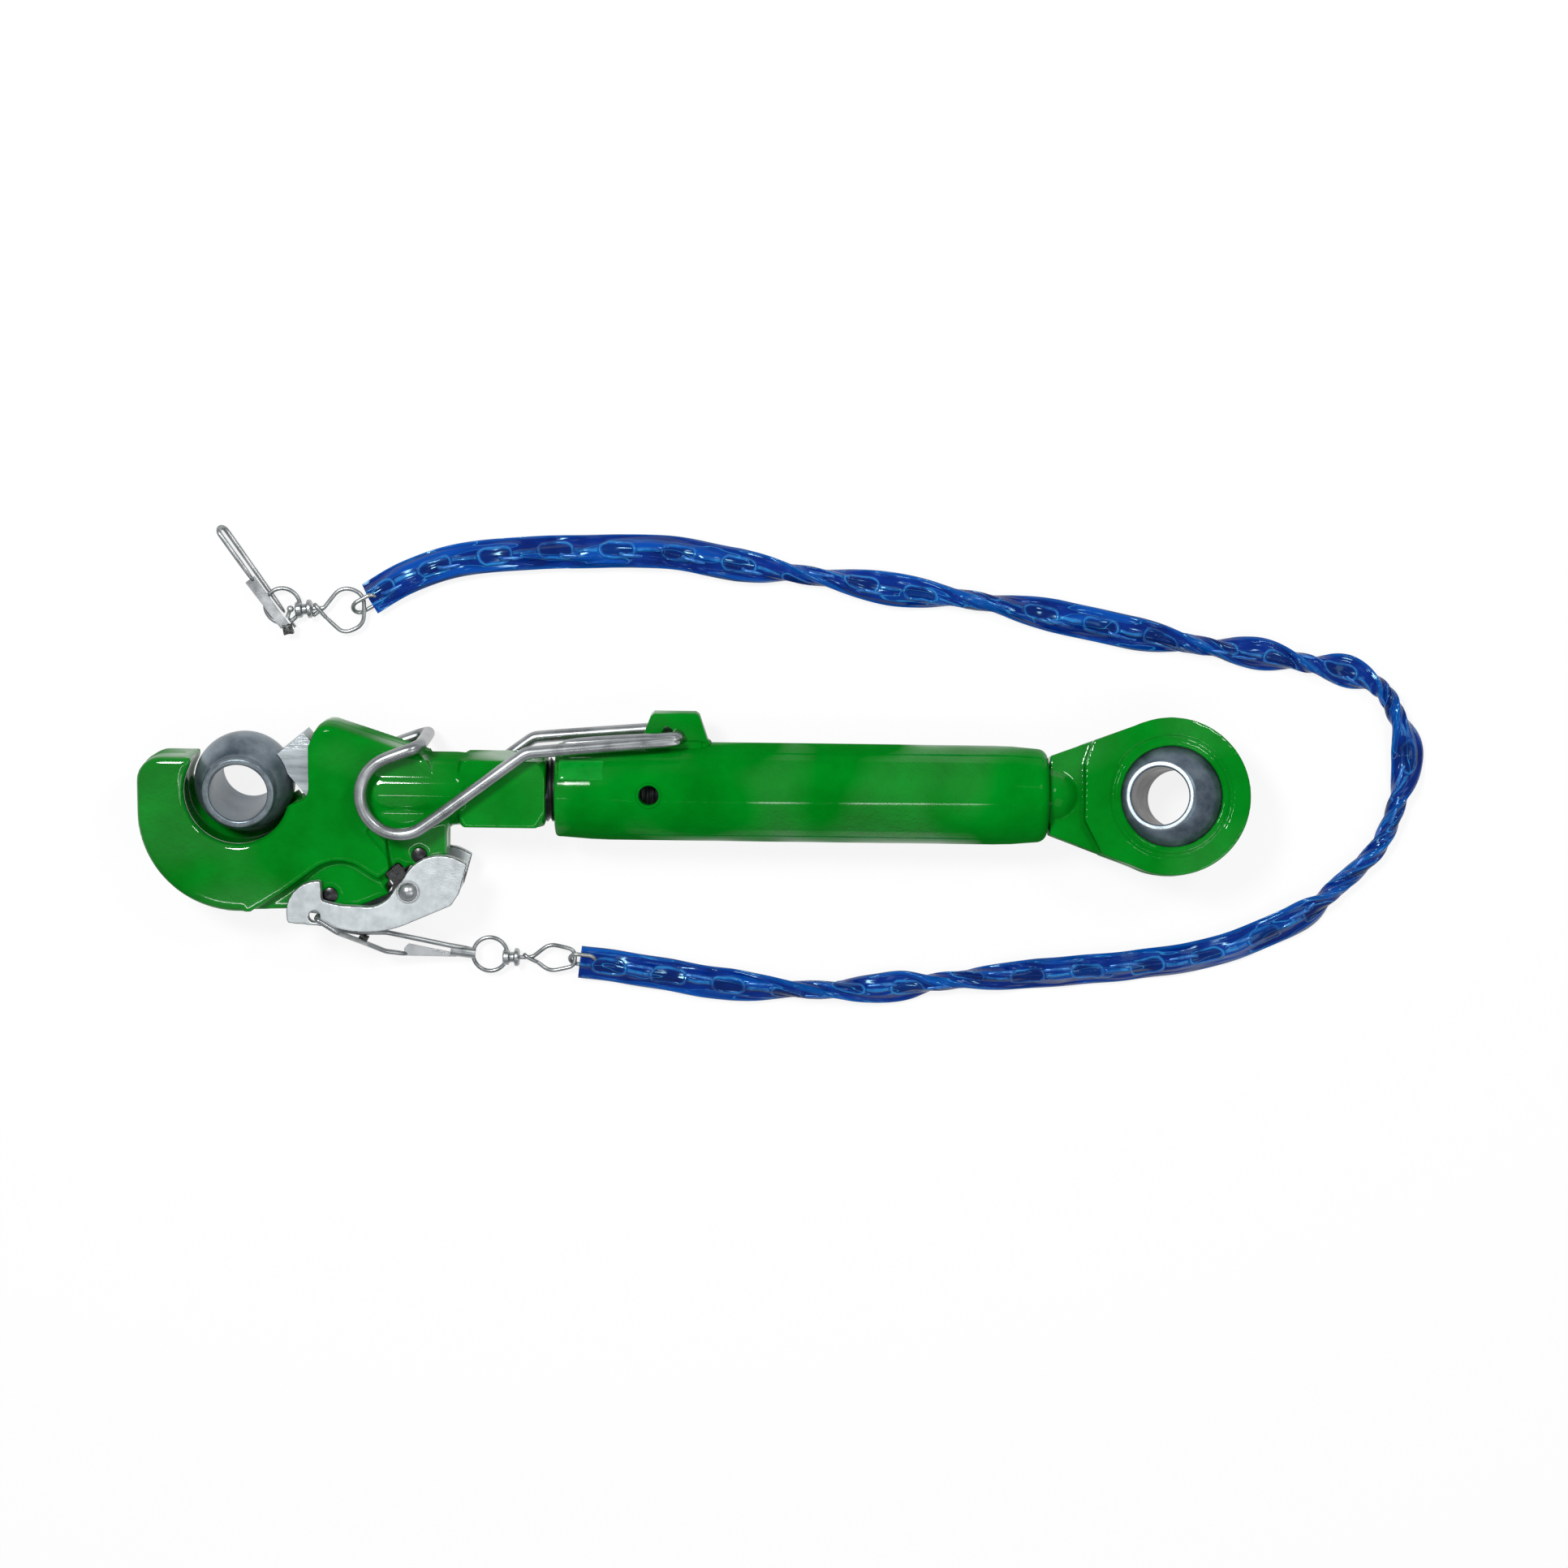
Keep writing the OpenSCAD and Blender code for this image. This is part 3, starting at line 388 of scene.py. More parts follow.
def tint(tree, share, below, above):
    """Two colours mixed by a mask; each is a colour or a socket."""
    made = node(tree, "ShaderNodeMix", data_type="RGBA")
    tree.links.new(share, made.inputs[0])
    for way, source in ((made.inputs[6], below), (made.inputs[7], above)):
        if isinstance(source, tuple):
            way.default_value = (*source, 1)
        else:
            tree.links.new(source, way)
    return made.outputs[2]


def link_marks(tree):
    """Where the chain presses from inside: masks of the flat links' wire, of their eyes and of the
    upright links, which also carry painted highlights and shade. Also the place, how far round the
    film is, and its lengthwise folds."""
    calc = partial(shade, tree)
    chart = node(tree, "ShaderNodeUVMap", uv_map="along and round").outputs[0]
    parts = node(tree, "ShaderNodeSeparateXYZ")
    tree.links.new(chart, parts.inputs[0])
    place = node(tree, "ShaderNodeTexCoord").outputs["Object"]
    sway = node(tree, "ShaderNodeTexNoise", in_Scale=70.0, in_Detail=2.0)
    tree.links.new(place, sway.inputs["Vector"])
    shift = calc("MULTIPLY_ADD", sway.outputs["Fac"], 2 * MARK_SWAY, -MARK_SWAY)
    # Millimetres along from the middle of a flat link, and across from the chain's line
    along = calc("FRACT", calc("MULTIPLY", parts.outputs[0], 0.5))
    along = calc("MULTIPLY_ADD", calc("SUBTRACT", along, 0.5), 2 * LINK_PITCH / MM, shift)
    round_it = calc("MULTIPLY", parts.outputs[1], 2 * math.pi)
    turn = calc("COSINE", round_it)
    across = calc("MULTIPLY_ADD", turn, SLEEVE_WIDE / 2 / MM, shift)
    beyond = calc("MAXIMUM", calc("SUBTRACT", calc("ABSOLUTE", along), LINK_STRAIGHT), 0)
    far = calc("SQRT", calc("ADD", calc("POWER", beyond, 2), calc("POWER", across, 2)))
    wire = calc("ABSOLUTE", calc("SUBTRACT", far, (LINK_WIDE - LINK_WIRE) / 2 / MM))
    ring = ramp(tree, wire, 1.1, 0.2)
    hollow = ramp(tree, far, 3.4, 2.6)
    upright = calc("ABSOLUTE", calc("SUBTRACT", calc("ABSOLUTE", along), LINK_PITCH / MM))
    thin = ramp(tree, calc("ABSOLUTE", across), 1.5, 0.5)
    bar = calc("MULTIPLY", ramp(tree, upright, 7.5, 5.5), thin)
    # Long folds: noise that changes slowly along and fast round
    grain = node(tree, "ShaderNodeCombineXYZ")
    lift = calc("SINE", round_it)
    for way, source, size in (
        (0, parts.outputs[0], FOLDS_ALONG), (1, turn, FOLDS_ROUND), (2, lift, FOLDS_ROUND),
    ):
        tree.links.new(calc("MULTIPLY", source, size), grain.inputs[way])
    folds = node(tree, "ShaderNodeTexNoise", in_Scale=1.0, in_Detail=1.5, in_Roughness=0.45)
    tree.links.new(grain.outputs[0], folds.inputs["Vector"])
    return place, ring, hollow, bar, turn, folds.outputs["Fac"]


def make_sleeve_material():
    """Blue film over the chain: its folds, and the links that press through it. Its colours hold
    painted light and shade.
    """
    made, tree, surface = blank_material(
        "blue sleeve film", Specular_IOR_Level=0.35, Specular_Tint=(0.45, 0.85, 1.0, 1),
    )
    calc = partial(shade, tree)
    place, ring, hollow, bar, turn, folds = link_marks(tree)
    tone = node(
        tree, "ShaderNodeGroup", node_tree=clouds,
        in_Size=60, in_Dark=(0.0, 0.006, 0.10, 1), in_Light=(0.0, 0.02, 0.21, 1),
    )
    tree.links.new(place, tone.inputs["Vector"])
    # Painted light makes the film palest at its folded edges and on its fold crests; painted shade
    # makes it darkest over the eyes of the links
    edge = ramp(tree, calc("ABSOLUTE", turn), 0.80, 0.97)
    lit_fold_crest = ramp(tree, folds, 0.50, 0.68, 0.0, 0.75)
    colour = tint(tree, lit_fold_crest, tone.outputs["Color"], (0.0, 0.06, 0.34))
    colour = tint(tree, calc("MULTIPLY", edge, 0.4), colour, (0.0, 0.11, 0.42))
    # Painted shade: the eyes of the flat links are darkened
    colour = tint(tree, calc("MULTIPLY", hollow, 0.7), colour, (0.0, 0.006, 0.075))
    # The links' wire: partly the chain showing through the film, partly a painted highlight where
    # the film is pressed on it
    pressed = calc("MAXIMUM", ring, bar)
    patchy = ramp(tree, tone.outputs["Mask"], 0.1, 0.9, 0.1, 0.75)
    colour = tint(tree, calc("MULTIPLY", pressed, patchy), colour, (0.02, 0.20, 0.52))
    # Painted highlights: thin pale lines, as glints along creases, where the folds' noise passes
    # one value
    crease = calc("ABSOLUTE", calc("SUBTRACT", folds, 0.56))
    colour = tint(tree, ramp(tree, crease, 0.008, 0.001, 0.0, 0.5), colour, (0.03, 0.30, 0.62))
    tree.links.new(colour, surface.inputs["Base Color"])
    tree.links.new(ramp(tree, tone.outputs["Mask"], 0, 1, 0.08, 0.2), surface.inputs["Roughness"])
    skin = node(
        tree, "ShaderNodeGroup", node_tree=relief, in_Fine_size=300, in_Coarse_size=70,
        in_Fine_share=0.06, in_Strength=0.5, in_Depth=0.0020,
    )
    tree.links.new(place, skin.inputs["Vector"])
    raised = node(tree, "ShaderNodeBump", in_Strength=0.9, in_Distance=0.006)
    tree.links.new(calc("MULTIPLY_ADD", pressed, 0.12, folds), raised.inputs["Height"])
    tree.links.new(skin.outputs["Normal"], raised.inputs["Normal"])
    tree.links.new(raised.outputs["Normal"], surface.inputs["Normal"])
    return made


bm = bmesh.new()
wrap_tube(
    bm, sleeve_steps, FILM_SIDES, film_point,
    lambda t: sleeve_run[round(t * sleeve_steps)] / LINK_PITCH,
)
bmesh.ops.recalc_face_normals(bm, faces=bm.faces)
film = new_piece("sleeve_film", bm, make_sleeve_material(), "pull_chain")
wall = film.modifiers.new("wall", "SOLIDIFY")
wall.thickness = FILM
wall.offset = -1

chain_wire = finish(
    "chain wire in the sleeve", (0.0, 0.05, 0.28), (0.02, 0.16, 0.46),
    cloud_size=300, rough=(0.2, 0.35), fine=1500, coarse=200,
    fine_share=0.5, strength=0.15, depth=0.0005, Metallic=0.3,
)


# How far the links lean by turns, in degrees: every other one lies flatter
LINK_ROLLS = (8, 46)
LINK_STEPS = 20
LINK_SIDES = 8


def link_point(centre, heading, roll):
    """Gives the point maker of one chain link, rolled about the chain's line."""
    side = Vector((-heading.y, heading.x, 0))
    flat = side * math.cos(roll) + Vector((0, 0, math.sin(roll)))
    normal = heading.cross(flat)
    half = (LINK_LONG - LINK_WIDE) / 2
    bend = (LINK_WIDE - LINK_WIRE) / 2

    def place(t, a):
        turn = 2 * math.pi * t
        out = heading * math.cos(turn) + flat * math.sin(turn)
        spine = heading * (half * max(-1, min(1, 3 * math.cos(turn)))) + out * bend
        return centre + spine + (out * math.cos(a) + normal * math.sin(a)) * LINK_WIRE / 2

    return place


bm = bmesh.new()
links = int((sleeve_run[-1] - LINK_PITCH) / LINK_PITCH)
for i in range(links):
    want = sleeve_run[-1] * (i + 1) / (links + 1)
    step = min(range(sleeve_steps + 1), key=lambda k: abs(sleeve_run[k] - want))
    centre, heading, _ = sleeve_path[step]
    lean = LINK_ROLLS[i % 2] + 5 * math.sin(2.4 * i)
    roll = math.radians(lean) + sleeve_turn[step] * PINCH_TURN
    middle = centre + Vector((0, 0, sleeve_base[step]))
    wrap_tube(bm, LINK_STEPS, LINK_SIDES, link_point(middle, heading, roll))
bmesh.ops.recalc_face_normals(bm, faces=bm.faces)
chain = new_piece("sleeve_chain", bm, chain_wire, "pull_chain")

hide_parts("chain_sleeve")
sleeve_line = [
    tuple(place + Vector((0, 0, base))) for (place, _, _), base in zip(sleeve_path, sleeve_base)
]
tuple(sleeve_line[0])


# ---------------------------------------------------------------- turnbuckle tube
# A seamless steel tube, tapped right-handed at one end and left-handed at the other and
# swaged a little smaller there. It is sprayed with a thick gloss paint.
def dress(name, material):
    """Gives a CAD node its finish."""
    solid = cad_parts[name]
    solid.data.materials.clear()
    solid.data.materials.append(material)


PAINT_DARK = (0.0, 0.130, 0.005)
PAINT_LIGHT = (0.0, 0.190, 0.010)
TUBE_LOW, TUBE_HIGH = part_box("turnbuckle_tube")
TUBE_R = TUBE_HIGH[2]
tube_paint = finish(
    "green gloss paint", PAINT_DARK, PAINT_LIGHT,
    cloud_size=25, rough=(0.3, 0.42), fine=650, coarse=170,
    fine_share=0.35, strength=1.0, depth=0.0020,
    coat=(0.02, 0.8), Coat_Roughness=0.08, Specular_IOR_Level=0.0,
)
dress("turnbuckle_tube", tube_paint)


def on_tube(along, round_it, high):
    """A point on the tube: how far along from its hook end, round from its top, and out."""
    turn = round_it / TUBE_R
    out = TUBE_R + high
    return Vector((TUBE_LOW[0] + along, out * math.sin(turn), out * math.cos(turn)))


BEAD_SIDES = 8


def bead(bm, path, wide, high):
    """A low half-round bead along a closed path of (along, round) points of the tube."""
    count = len(path)

    def place(t, a):
        i = round(t * count) % count
        side = (Vector(path[(i + 1) % count]) - Vector(path[i - 1])).normalized()
        off = wide * math.cos(a)
        along, round_it = path[i][0] - side.y * off, path[i][1] + side.x * off
        return on_tube(along, round_it, high * math.sin(a))

    wrap_tube(bm, count, BEAD_SIDES, place)
    bmesh.ops.recalc_face_normals(bm, faces=bm.faces)


# The flat that was ground near the hook's end, under the same paint. Its middle stands a
# little proud, its rim sinks into the tube, and places are along and round.
FLAT_AT = (15 * MM, 16.5 * MM)
FLAT_HALF = (12.5 * MM, 6.5 * MM)
FLAT_HIGH = 0.4 * MM
FLAT_SINK = 0.6 * MM
FLAT_ROOT = 0.8 * MM
bm = bmesh.new()
bmesh.ops.create_grid(bm, x_segments=16, y_segments=12, size=1)
bmesh.ops.solidify(bm, geom=bm.faces, thickness=1)
for vert in bm.verts:
    u, v = vert.co.x, vert.co.y
    rim = max(abs(u), abs(v)) ** 8
    high = FLAT_HIGH - FLAT_SINK * rim if vert.co.z > -0.5 else -FLAT_ROOT
    vert.co = on_tube(FLAT_AT[0] + FLAT_HALF[0] * u, FLAT_AT[1] + FLAT_HALF[1] * v, high)
bmesh.ops.recalc_face_normals(bm, faces=bm.faces)
# Painted light: the flat gets a lighter copy of the tube's green
lit_flat_paint = finish(
    "green paint on the ground flat, painted lighter", (0.0, 0.175, 0.012), (0.003, 0.25, 0.022),
    cloud_size=60, rough=(0.3, 0.42), fine=650, coarse=260,
    fine_share=0.35, strength=1.0, depth=0.0022,
    coat=(0.05, 0.8), Coat_Roughness=0.08, Specular_IOR_Level=0.0,
)
new_piece("tube_flat", bm, lit_flat_paint, "tube")

# Paint that has gathered round the sight hole
SIGHT_AT = (52.5 * MM, 2 * MM)
SIGHT_RIM = 6.35 * MM
SIGHT_SIDES = 48
bm = bmesh.new()
rim = [
    (SIGHT_AT[0] + SIGHT_RIM * math.cos(a), SIGHT_AT[1] + SIGHT_RIM * math.sin(a))
    for a in (2 * math.pi * k / SIGHT_SIDES for k in range(SIGHT_SIDES))
]
bead(bm, rim, 0.8 * MM, 0.7 * MM)
new_piece("sight_hole_rim", bm, tube_paint, "tube")


# ---------------------------------------------------------------- bracket and its weld
# A flame-cut plate that carries the bail. It is welded to the tube all round its foot and
# painted together with it, so that the weld shows as a soft bead.
SHARP_ANGLE = 0.6


def merged_copy(name):
    """A CAD node's mesh with its loose triangles joined."""
    bm = bmesh.new()
    bm.from_mesh(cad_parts[name].data)
    bmesh.ops.remove_doubles(bm, verts=bm.verts, dist=0.004 * MM)
    bm.normal_update()
    return bm


def round_edges(bm, width, segments):
    """Rounds a mesh's sharp edges."""
    sharp = [e for e in bm.edges if len(e.link_faces) == 2 and e.calc_face_angle() > SHARP_ANGLE]
    bmesh.ops.bevel(
        bm, geom=sharp, offset=width, offset_type="OFFSET", affect="EDGES", segments=segments,
        profile=0.5, material=-1, clamp_overlap=True,
    )


def eased_piece(name, source, width, material, body, segments=2):
    """A CAD node with its edges rounded, which stands for it."""
    bm = merged_copy(source)
    bmesh.ops.dissolve_limit(bm, angle_limit=0.02, verts=bm.verts, edges=bm.edges)
    round_edges(bm, width, segments)
    piece = new_piece(name, bm, material, body)
    even = piece.modifiers.new("even shading", "WEIGHTED_NORMAL")
    even.keep_sharp = True
    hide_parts(source)
    return piece


eased_piece("bracket_plate", "bail_bracket", 1.0 * MM, tube_paint, "tube", 3)

# The weld runs up one side of the bracket's foot and down the other, a little uneven
WELD_HALF = 6.6 * MM
WELD_ROUND = 1.5 * MM
WELD_STEPS = 20
WELD_SWAY = (0.35 * MM, 0.3 * MM)
foot_low, foot_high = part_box("bail_bracket")
near = foot_low[0] - TUBE_LOW[0] + 0.5 * MM
away = foot_high[0] - TUBE_LOW[0] - 2.5 * MM
crown = math.pi / 2 * TUBE_R
sides = [(away - near) * k / WELD_STEPS for k in range(WELD_STEPS + 1)]
corners = (1.0, 0.4, -0.4, -1.0)
path = [(near + run, crown - WELD_HALF) for run in sides]
path += [(away + WELD_ROUND * math.cos(a), crown - WELD_HALF * math.sin(a)) for a in corners]
path += [(away - run, crown + WELD_HALF) for run in sides]
path += [(near - WELD_ROUND * math.cos(a), crown + WELD_HALF * math.sin(a)) for a in corners]
path = [
    (u + WELD_SWAY[0] * math.sin(2.3 * i), v + WELD_SWAY[1] * math.sin(1.7 * i))
    for i, (u, v) in enumerate(path)
]
bm = bmesh.new()
bead(bm, path, 2.8 * MM, 2.2 * MM)
weld = new_piece("bracket_weld", bm, tube_paint, "tube")
soft = weld.modifiers.new("soft bead", "SUBSURF")
soft.levels = soft.render_levels = 2


# ---------------------------------------------------------------- lock bail
# A spring-steel wire, bent cold into a double loop and plated with zinc. Its two ends hook
# into the bracket, and its round end drops over the hook's neck.
zinc_wire = finish(
    "zinc plate on wire", (0.20, 0.21, 0.215), (0.40, 0.415, 0.42),
    cloud_size=60, rough=(0.24, 0.34), fine=900, coarse=120,
    fine_share=0.15, strength=0.08, depth=0.0004, Metallic=0.9,
)


def smooth_wire(name, source, wire, sides, material, body, thicker=1.0):
    """A CAD wire made round: its flat sides become quads, which are subdivided. Subdividing
    draws a wire in, so it is swelled first."""
    bm = merged_copy(source)
    bmesh.ops.join_triangles(
        bm, faces=bm.faces, angle_face_threshold=0.8, angle_shape_threshold=1.6,
    )
    bm.normal_update()
    swell = wire / 2 * (thicker * 6 / (4 + 2 * math.cos(2 * math.pi / sides)) - 1)
    for vert in bm.verts:
        vert.co += vert.normal * swell
    piece = new_piece(name, bm, material, body)
    soft = piece.modifiers.new("round wire", "SUBSURF")
    soft.levels = soft.render_levels = 2
    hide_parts(source)
    return piece


smooth_wire("bail_wire", "lock_bail", 7 * MM, 12, zinc_wire, "bail")


# ---------------------------------------------------------------- hook
# A steel drop forging with a wide jaw, a shoulder and a round neck that ends in a square.
# Its edges are rounded by the die, a thin flash line is left all round, and it is painted.
def settle(piece):
    """Fixes a piece's modifiers into its mesh."""
    seen = piece.evaluated_get(bpy.context.evaluated_depsgraph_get())
    fixed = bpy.data.meshes.new_from_object(seen)
    piece.modifiers.clear()
    piece.data = fixed


def one_skin(piece, voxel, rounds):
    """Makes a piece one skin with soft edges."""
    skin = piece.modifiers.new("one skin", "REMESH")
    skin.mode = "VOXEL"
    skin.voxel_size = voxel
    soft = piece.modifiers.new("soft edges", "SMOOTH")
    soft.factor = 0.5
    soft.iterations = rounds
    settle(piece)


def forged_piece(name, source, cut, inward, voxel, rounds, fair, flash, material, body):
    """A CAD node as a forging: its screw is cut off at X = cut, on the side away from inward,
    and the rest is one skin with soft edges. Its walls are made fair in as many rounds, and
    flash gives how far each point moves out."""
    bm = merged_copy(source)
    bmesh.ops.bisect_plane(
        bm, geom=bm.verts[:] + bm.edges[:] + bm.faces[:],
        plane_co=(cut, 0, 0), plane_no=(inward, 0, 0), clear_inner=True,
    )
    rims = [e for e in bm.edges if e.is_boundary]
    bmesh.ops.holes_fill(bm, edges=rims, sides=0)
    piece = new_piece(name, bm, material, body)
    one_skin(piece, voxel, rounds)
    bm = bmesh.new()
    bm.from_mesh(piece.data)
    bm.normal_update()
    walls = [vert for vert in bm.verts if abs(vert.normal.z) < 0.3]
    for _ in range(fair):
        bmesh.ops.smooth_vert(bm, verts=walls, factor=0.5, use_axis_x=True, use_axis_y=True)
    bm.normal_update()
    for vert in bm.verts:
        vert.co += vert.normal * flash(vert.co, vert.normal)
    bm.to_mesh(piece.data)
    bm.free()
    piece.data.shade_smooth()
    return piece


forge_paint = finish(
    "green paint on a forging", PAINT_DARK, PAINT_LIGHT,
    cloud_size=30, rough=(0.28, 0.42), fine=420, coarse=150,
    fine_share=0.35, strength=1.0, depth=0.0024,
    coat=(0.1, 0.9), Coat_Roughness=0.05, Specular_IOR_Level=0.0,
)
HOOK_X = -517 * MM
SQUARE_END = TUBE_LOW[0] - 5 * MM
# The lip low in the throat: its round, its thickness, and where it has faded out
THROAT = Vector((HOOK_X - 2.5 * MM, -1 * MM))
THROAT_LIP_R = 31.6 * MM
THROAT_LIP = 2.6 * MM
LIP_TOP = -7 * MM
LIP_END = 4 * MM
LIP_FADE_Z = 5 * MM
LIP_FADE_Y = 6 * MM
# The parting line, and the parts that it leaves out: the throat, the jaw's tip and the neck
FLASH_HIGH = 0.35 * MM
FLASH_HALF = 0.9 * MM
THROAT_CLEAR = 36 * MM
JAW_TIP_Y = -38 * MM
NECK_LONG = 45 * MM


def hook_flash(place, normal):
    """The die's parting line, where nothing runs on the hook, and a lip low in the throat."""
    from_throat = (place.xy - THROAT).length
    if (
        from_throat < THROAT_LIP_R and place.z < LIP_TOP and place.y < LIP_END
        and abs(normal.z) < 0.7
    ):
        down = min(1, (LIP_TOP - place.z) / LIP_FADE_Z)
        return down * THROAT_LIP * min(1, (LIP_END - place.y) / LIP_FADE_Y)
    free = from_throat > THROAT_CLEAR
    side = abs(normal.z) < 0.35 and abs(place.z) < FLASH_HALF
    upper = place.y > JAW_TIP_Y or place.x < HOOK_X
    neck = place.x > SQUARE_END - NECK_LONG
    return FLASH_HIGH if free and side and upper and not neck else 0


forging = forged_piece(
    "hook_forging", "hook_body", SQUARE_END - 0.02 * MM, -1, 0.9 * MM, 9, 24, hook_flash,
    forge_paint, "hook",
)

oiled_steel = finish(
    "dark oiled steel", (0.012, 0.013, 0.014), (0.05, 0.052, 0.055),
    cloud_size=90, rough=(0.28, 0.45), fine=900, coarse=200,
    fine_share=0.4, strength=0.4, depth=0.0006, Metallic=0.8,
)


THREAD_PITCH = 3 * MM
THREAD_ROOT = 16.3 * MM
THREAD_CREST = 17.95 * MM
THREAD_STEPS = 40
SCREW_IN = 97 * MM


def make_screw(name, start, end, hand, body):
    """A cut thread from start to end along X: the profile of its teeth, spun once round while
    it advances one pitch."""
    bm = bmesh.new()
    line = []
    for i in range(int((end - start) / THREAD_PITCH)):
        for share, radius in (
            (0.0, THREAD_ROOT), (0.12, THREAD_ROOT), (0.46, THREAD_CREST), (0.58, THREAD_CREST),
        ):
            line.append(bm.verts.new((start + (i + share) * THREAD_PITCH, 0, radius)))
    runs = [bm.edges.new(pair) for pair in zip(line, line[1:])]
    bmesh.ops.spin(
        bm, geom=line + runs, cent=(0, 0, 0), axis=(1, 0, 0),
        dvec=(THREAD_PITCH / THREAD_STEPS, 0, 0), angle=hand * 2 * math.pi,
        steps=THREAD_STEPS, use_merge=False, use_duplicate=False,
    )
    bmesh.ops.remove_doubles(bm, verts=bm.verts, dist=0.02 * MM)
    bmesh.ops.holes_fill(bm, edges=[e for e in bm.edges if e.is_boundary], sides=0)
    bmesh.ops.recalc_face_normals(bm, faces=bm.faces)
    return new_piece(name, bm, oiled_steel, body)


make_screw("hook_screw", SQUARE_END - 2 * MM, TUBE_LOW[0] + SCREW_IN, 1, "hook")
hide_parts("hook_body")


# ---------------------------------------------------------------- eye end
# The other forging: a thick ring with a stepped neck and the left-hand screw. The ring's
# lip is rolled over the ball, which leaves a groove round it.
EYE_NECK = -68 * MM
EYE_ROLL = math.radians(-12)
EYE_FLASH = 0.3 * MM
EYE_FLASH_HALF = 0.8 * MM
SOCKET_CLEAR = 40 * MM
SHOULDER_X = -50 * MM


def eye_flash(place, normal):
    """The eye's parting line, rolled with it about the link's axis."""
    level = place.z * math.cos(EYE_ROLL) - place.y * math.sin(EYE_ROLL)
    outside = place.length > SOCKET_CLEAR and place.x > SHOULDER_X
    side = abs(normal.z) < 0.45 and abs(level) < EYE_FLASH_HALF
    return EYE_FLASH if outside and side else 0


eye = forged_piece(
    "eye_forging", "eye_rod", EYE_NECK + 0.05 * MM, 1, 0.75 * MM, 6, 0, eye_flash,
    forge_paint, "eye",
)
make_screw("eye_screw", EYE_NECK - SCREW_IN, EYE_NECK, -1, "eye")
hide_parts("eye_rod")


# ---------------------------------------------------------------- balls
# Two bearing balls, turned from steel bar and bored for the hitch pins. The guide ball has
# a turned collar at both ends, and both are blued by their heat treatment.
ball_steel = finish(
    "blued ball steel", (0.07, 0.095, 0.12), (0.22, 0.265, 0.30),
    cloud_size=60, rough=(0.26, 0.42), fine=1200, coarse=180,
    fine_share=0.5, strength=0.2, depth=0.0005, Metallic=0.7,
)
bright_ball = finish(
    "ground ball steel", (0.035, 0.055, 0.085), (0.16, 0.20, 0.24),
    cloud_size=70, rough=(0.28, 0.42), fine=1200, coarse=180,
    fine_share=0.5, strength=0.2, depth=0.0005, Metallic=0.7,
)
faced_lit_steel = finish(
    "faced end of a ball, painted lighter", (0.13, 0.155, 0.165), (0.25, 0.285, 0.295),
    cloud_size=120, rough=(0.28, 0.4), fine=1400, coarse=300,
    fine_share=0.5, strength=0.3, depth=0.0005, Metallic=0.85,
)
bore_shade = finish(
    "painted shade in a bore", (0.016, 0.017, 0.016), (0.06, 0.061, 0.057),
    cloud_size=60, rough=(0.3, 0.45), fine=900, coarse=200,
    fine_share=0.5, strength=0.3, depth=0.0005, Metallic=0.7,
)


def face_off(piece):
    """Gives the flat ends of a turned piece a paler finish, partly the facing cut's and partly
    painted light. Returns their normal.
    """
    flat = max(piece.data.polygons, key=lambda face: face.area).normal.copy()
    piece.data.materials.append(faced_lit_steel)
    for face in piece.data.polygons:
        if abs(face.normal.dot(flat)) > 0.98:
            face.material_index = 1
    return flat


guide_steel = eased_piece(
    "guide_ball_steel", "guide_ball", 1.3 * MM, ball_steel, "guide_ball", 3,
)
face_off(guide_steel)
eye_steel = eased_piece(
    "eye_ball_steel", "eye_ball", 1.0 * MM, bright_ball, "eye_ball", 3,
)
bore_line = face_off(eye_steel)
# Painted shade: the wall of the eye ball's bore gets a dark material
eye_steel.data.materials.append(bore_shade)
for face in eye_steel.data.polygons:
    out = face.center - bore_line * face.center.dot(bore_line)
    if abs(face.normal.dot(bore_line)) < 0.2 and face.normal.dot(out) < 0:
        face.material_index = 2


# ---------------------------------------------------------------- locking pawl and its rod end
# A square steel bar with a hollow ground in its nose, which closes the jaw over the ball. A
# coil spring pushes it, and a rod end pinned to its shank joins it to the lever.
PAWL_LINE = math.radians(-50.6)
brushed_zinc = finish(
    "zinc plate on ground steel", (0.20, 0.23, 0.245), (0.52, 0.56, 0.58),
    cloud_size=60, rough=(0.3, 0.46), fine=900, coarse=200,
    fine_share=0.5, strength=0.6, depth=0.0008,
    stretch=((0, 0, -PAWL_LINE), (0.2, 2.4, 1)), Metallic=0.8,
)
eased_piece("pawl_bar", "locking_pawl", 0.6 * MM, brushed_zinc, "pawl")
black = finish(
    "black oxide", (0.002, 0.002, 0.003), (0.008, 0.008, 0.009),
    cloud_size=300, rough=(0.15, 0.35), fine=900, coarse=300,
    fine_share=0.5, strength=0.2, depth=0.0004,
)
# Painted shade: the rod end and its pin, deep in the hook's pocket, get the black of the stop pins
eased_piece("rod_end_steel", "pawl_rod_end", 0.6 * MM, black, "pawl")
dress("rod_end_pin", black)
spring_steel = finish(
    "oiled spring wire", (0.18, 0.18, 0.19), (0.38, 0.38, 0.39),
    cloud_size=150, rough=(0.25, 0.4), fine=1200, coarse=300,
    fine_share=0.5, strength=0.25, depth=0.0005, Metallic=0.9,
)
spring = smooth_wire(
    "pawl_spring_wire", "pawl_spring", 2.2 * MM, 6, spring_steel, "hook", 0.97,
)
settle(spring)
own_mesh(spring)
dress("stop_pins", black)


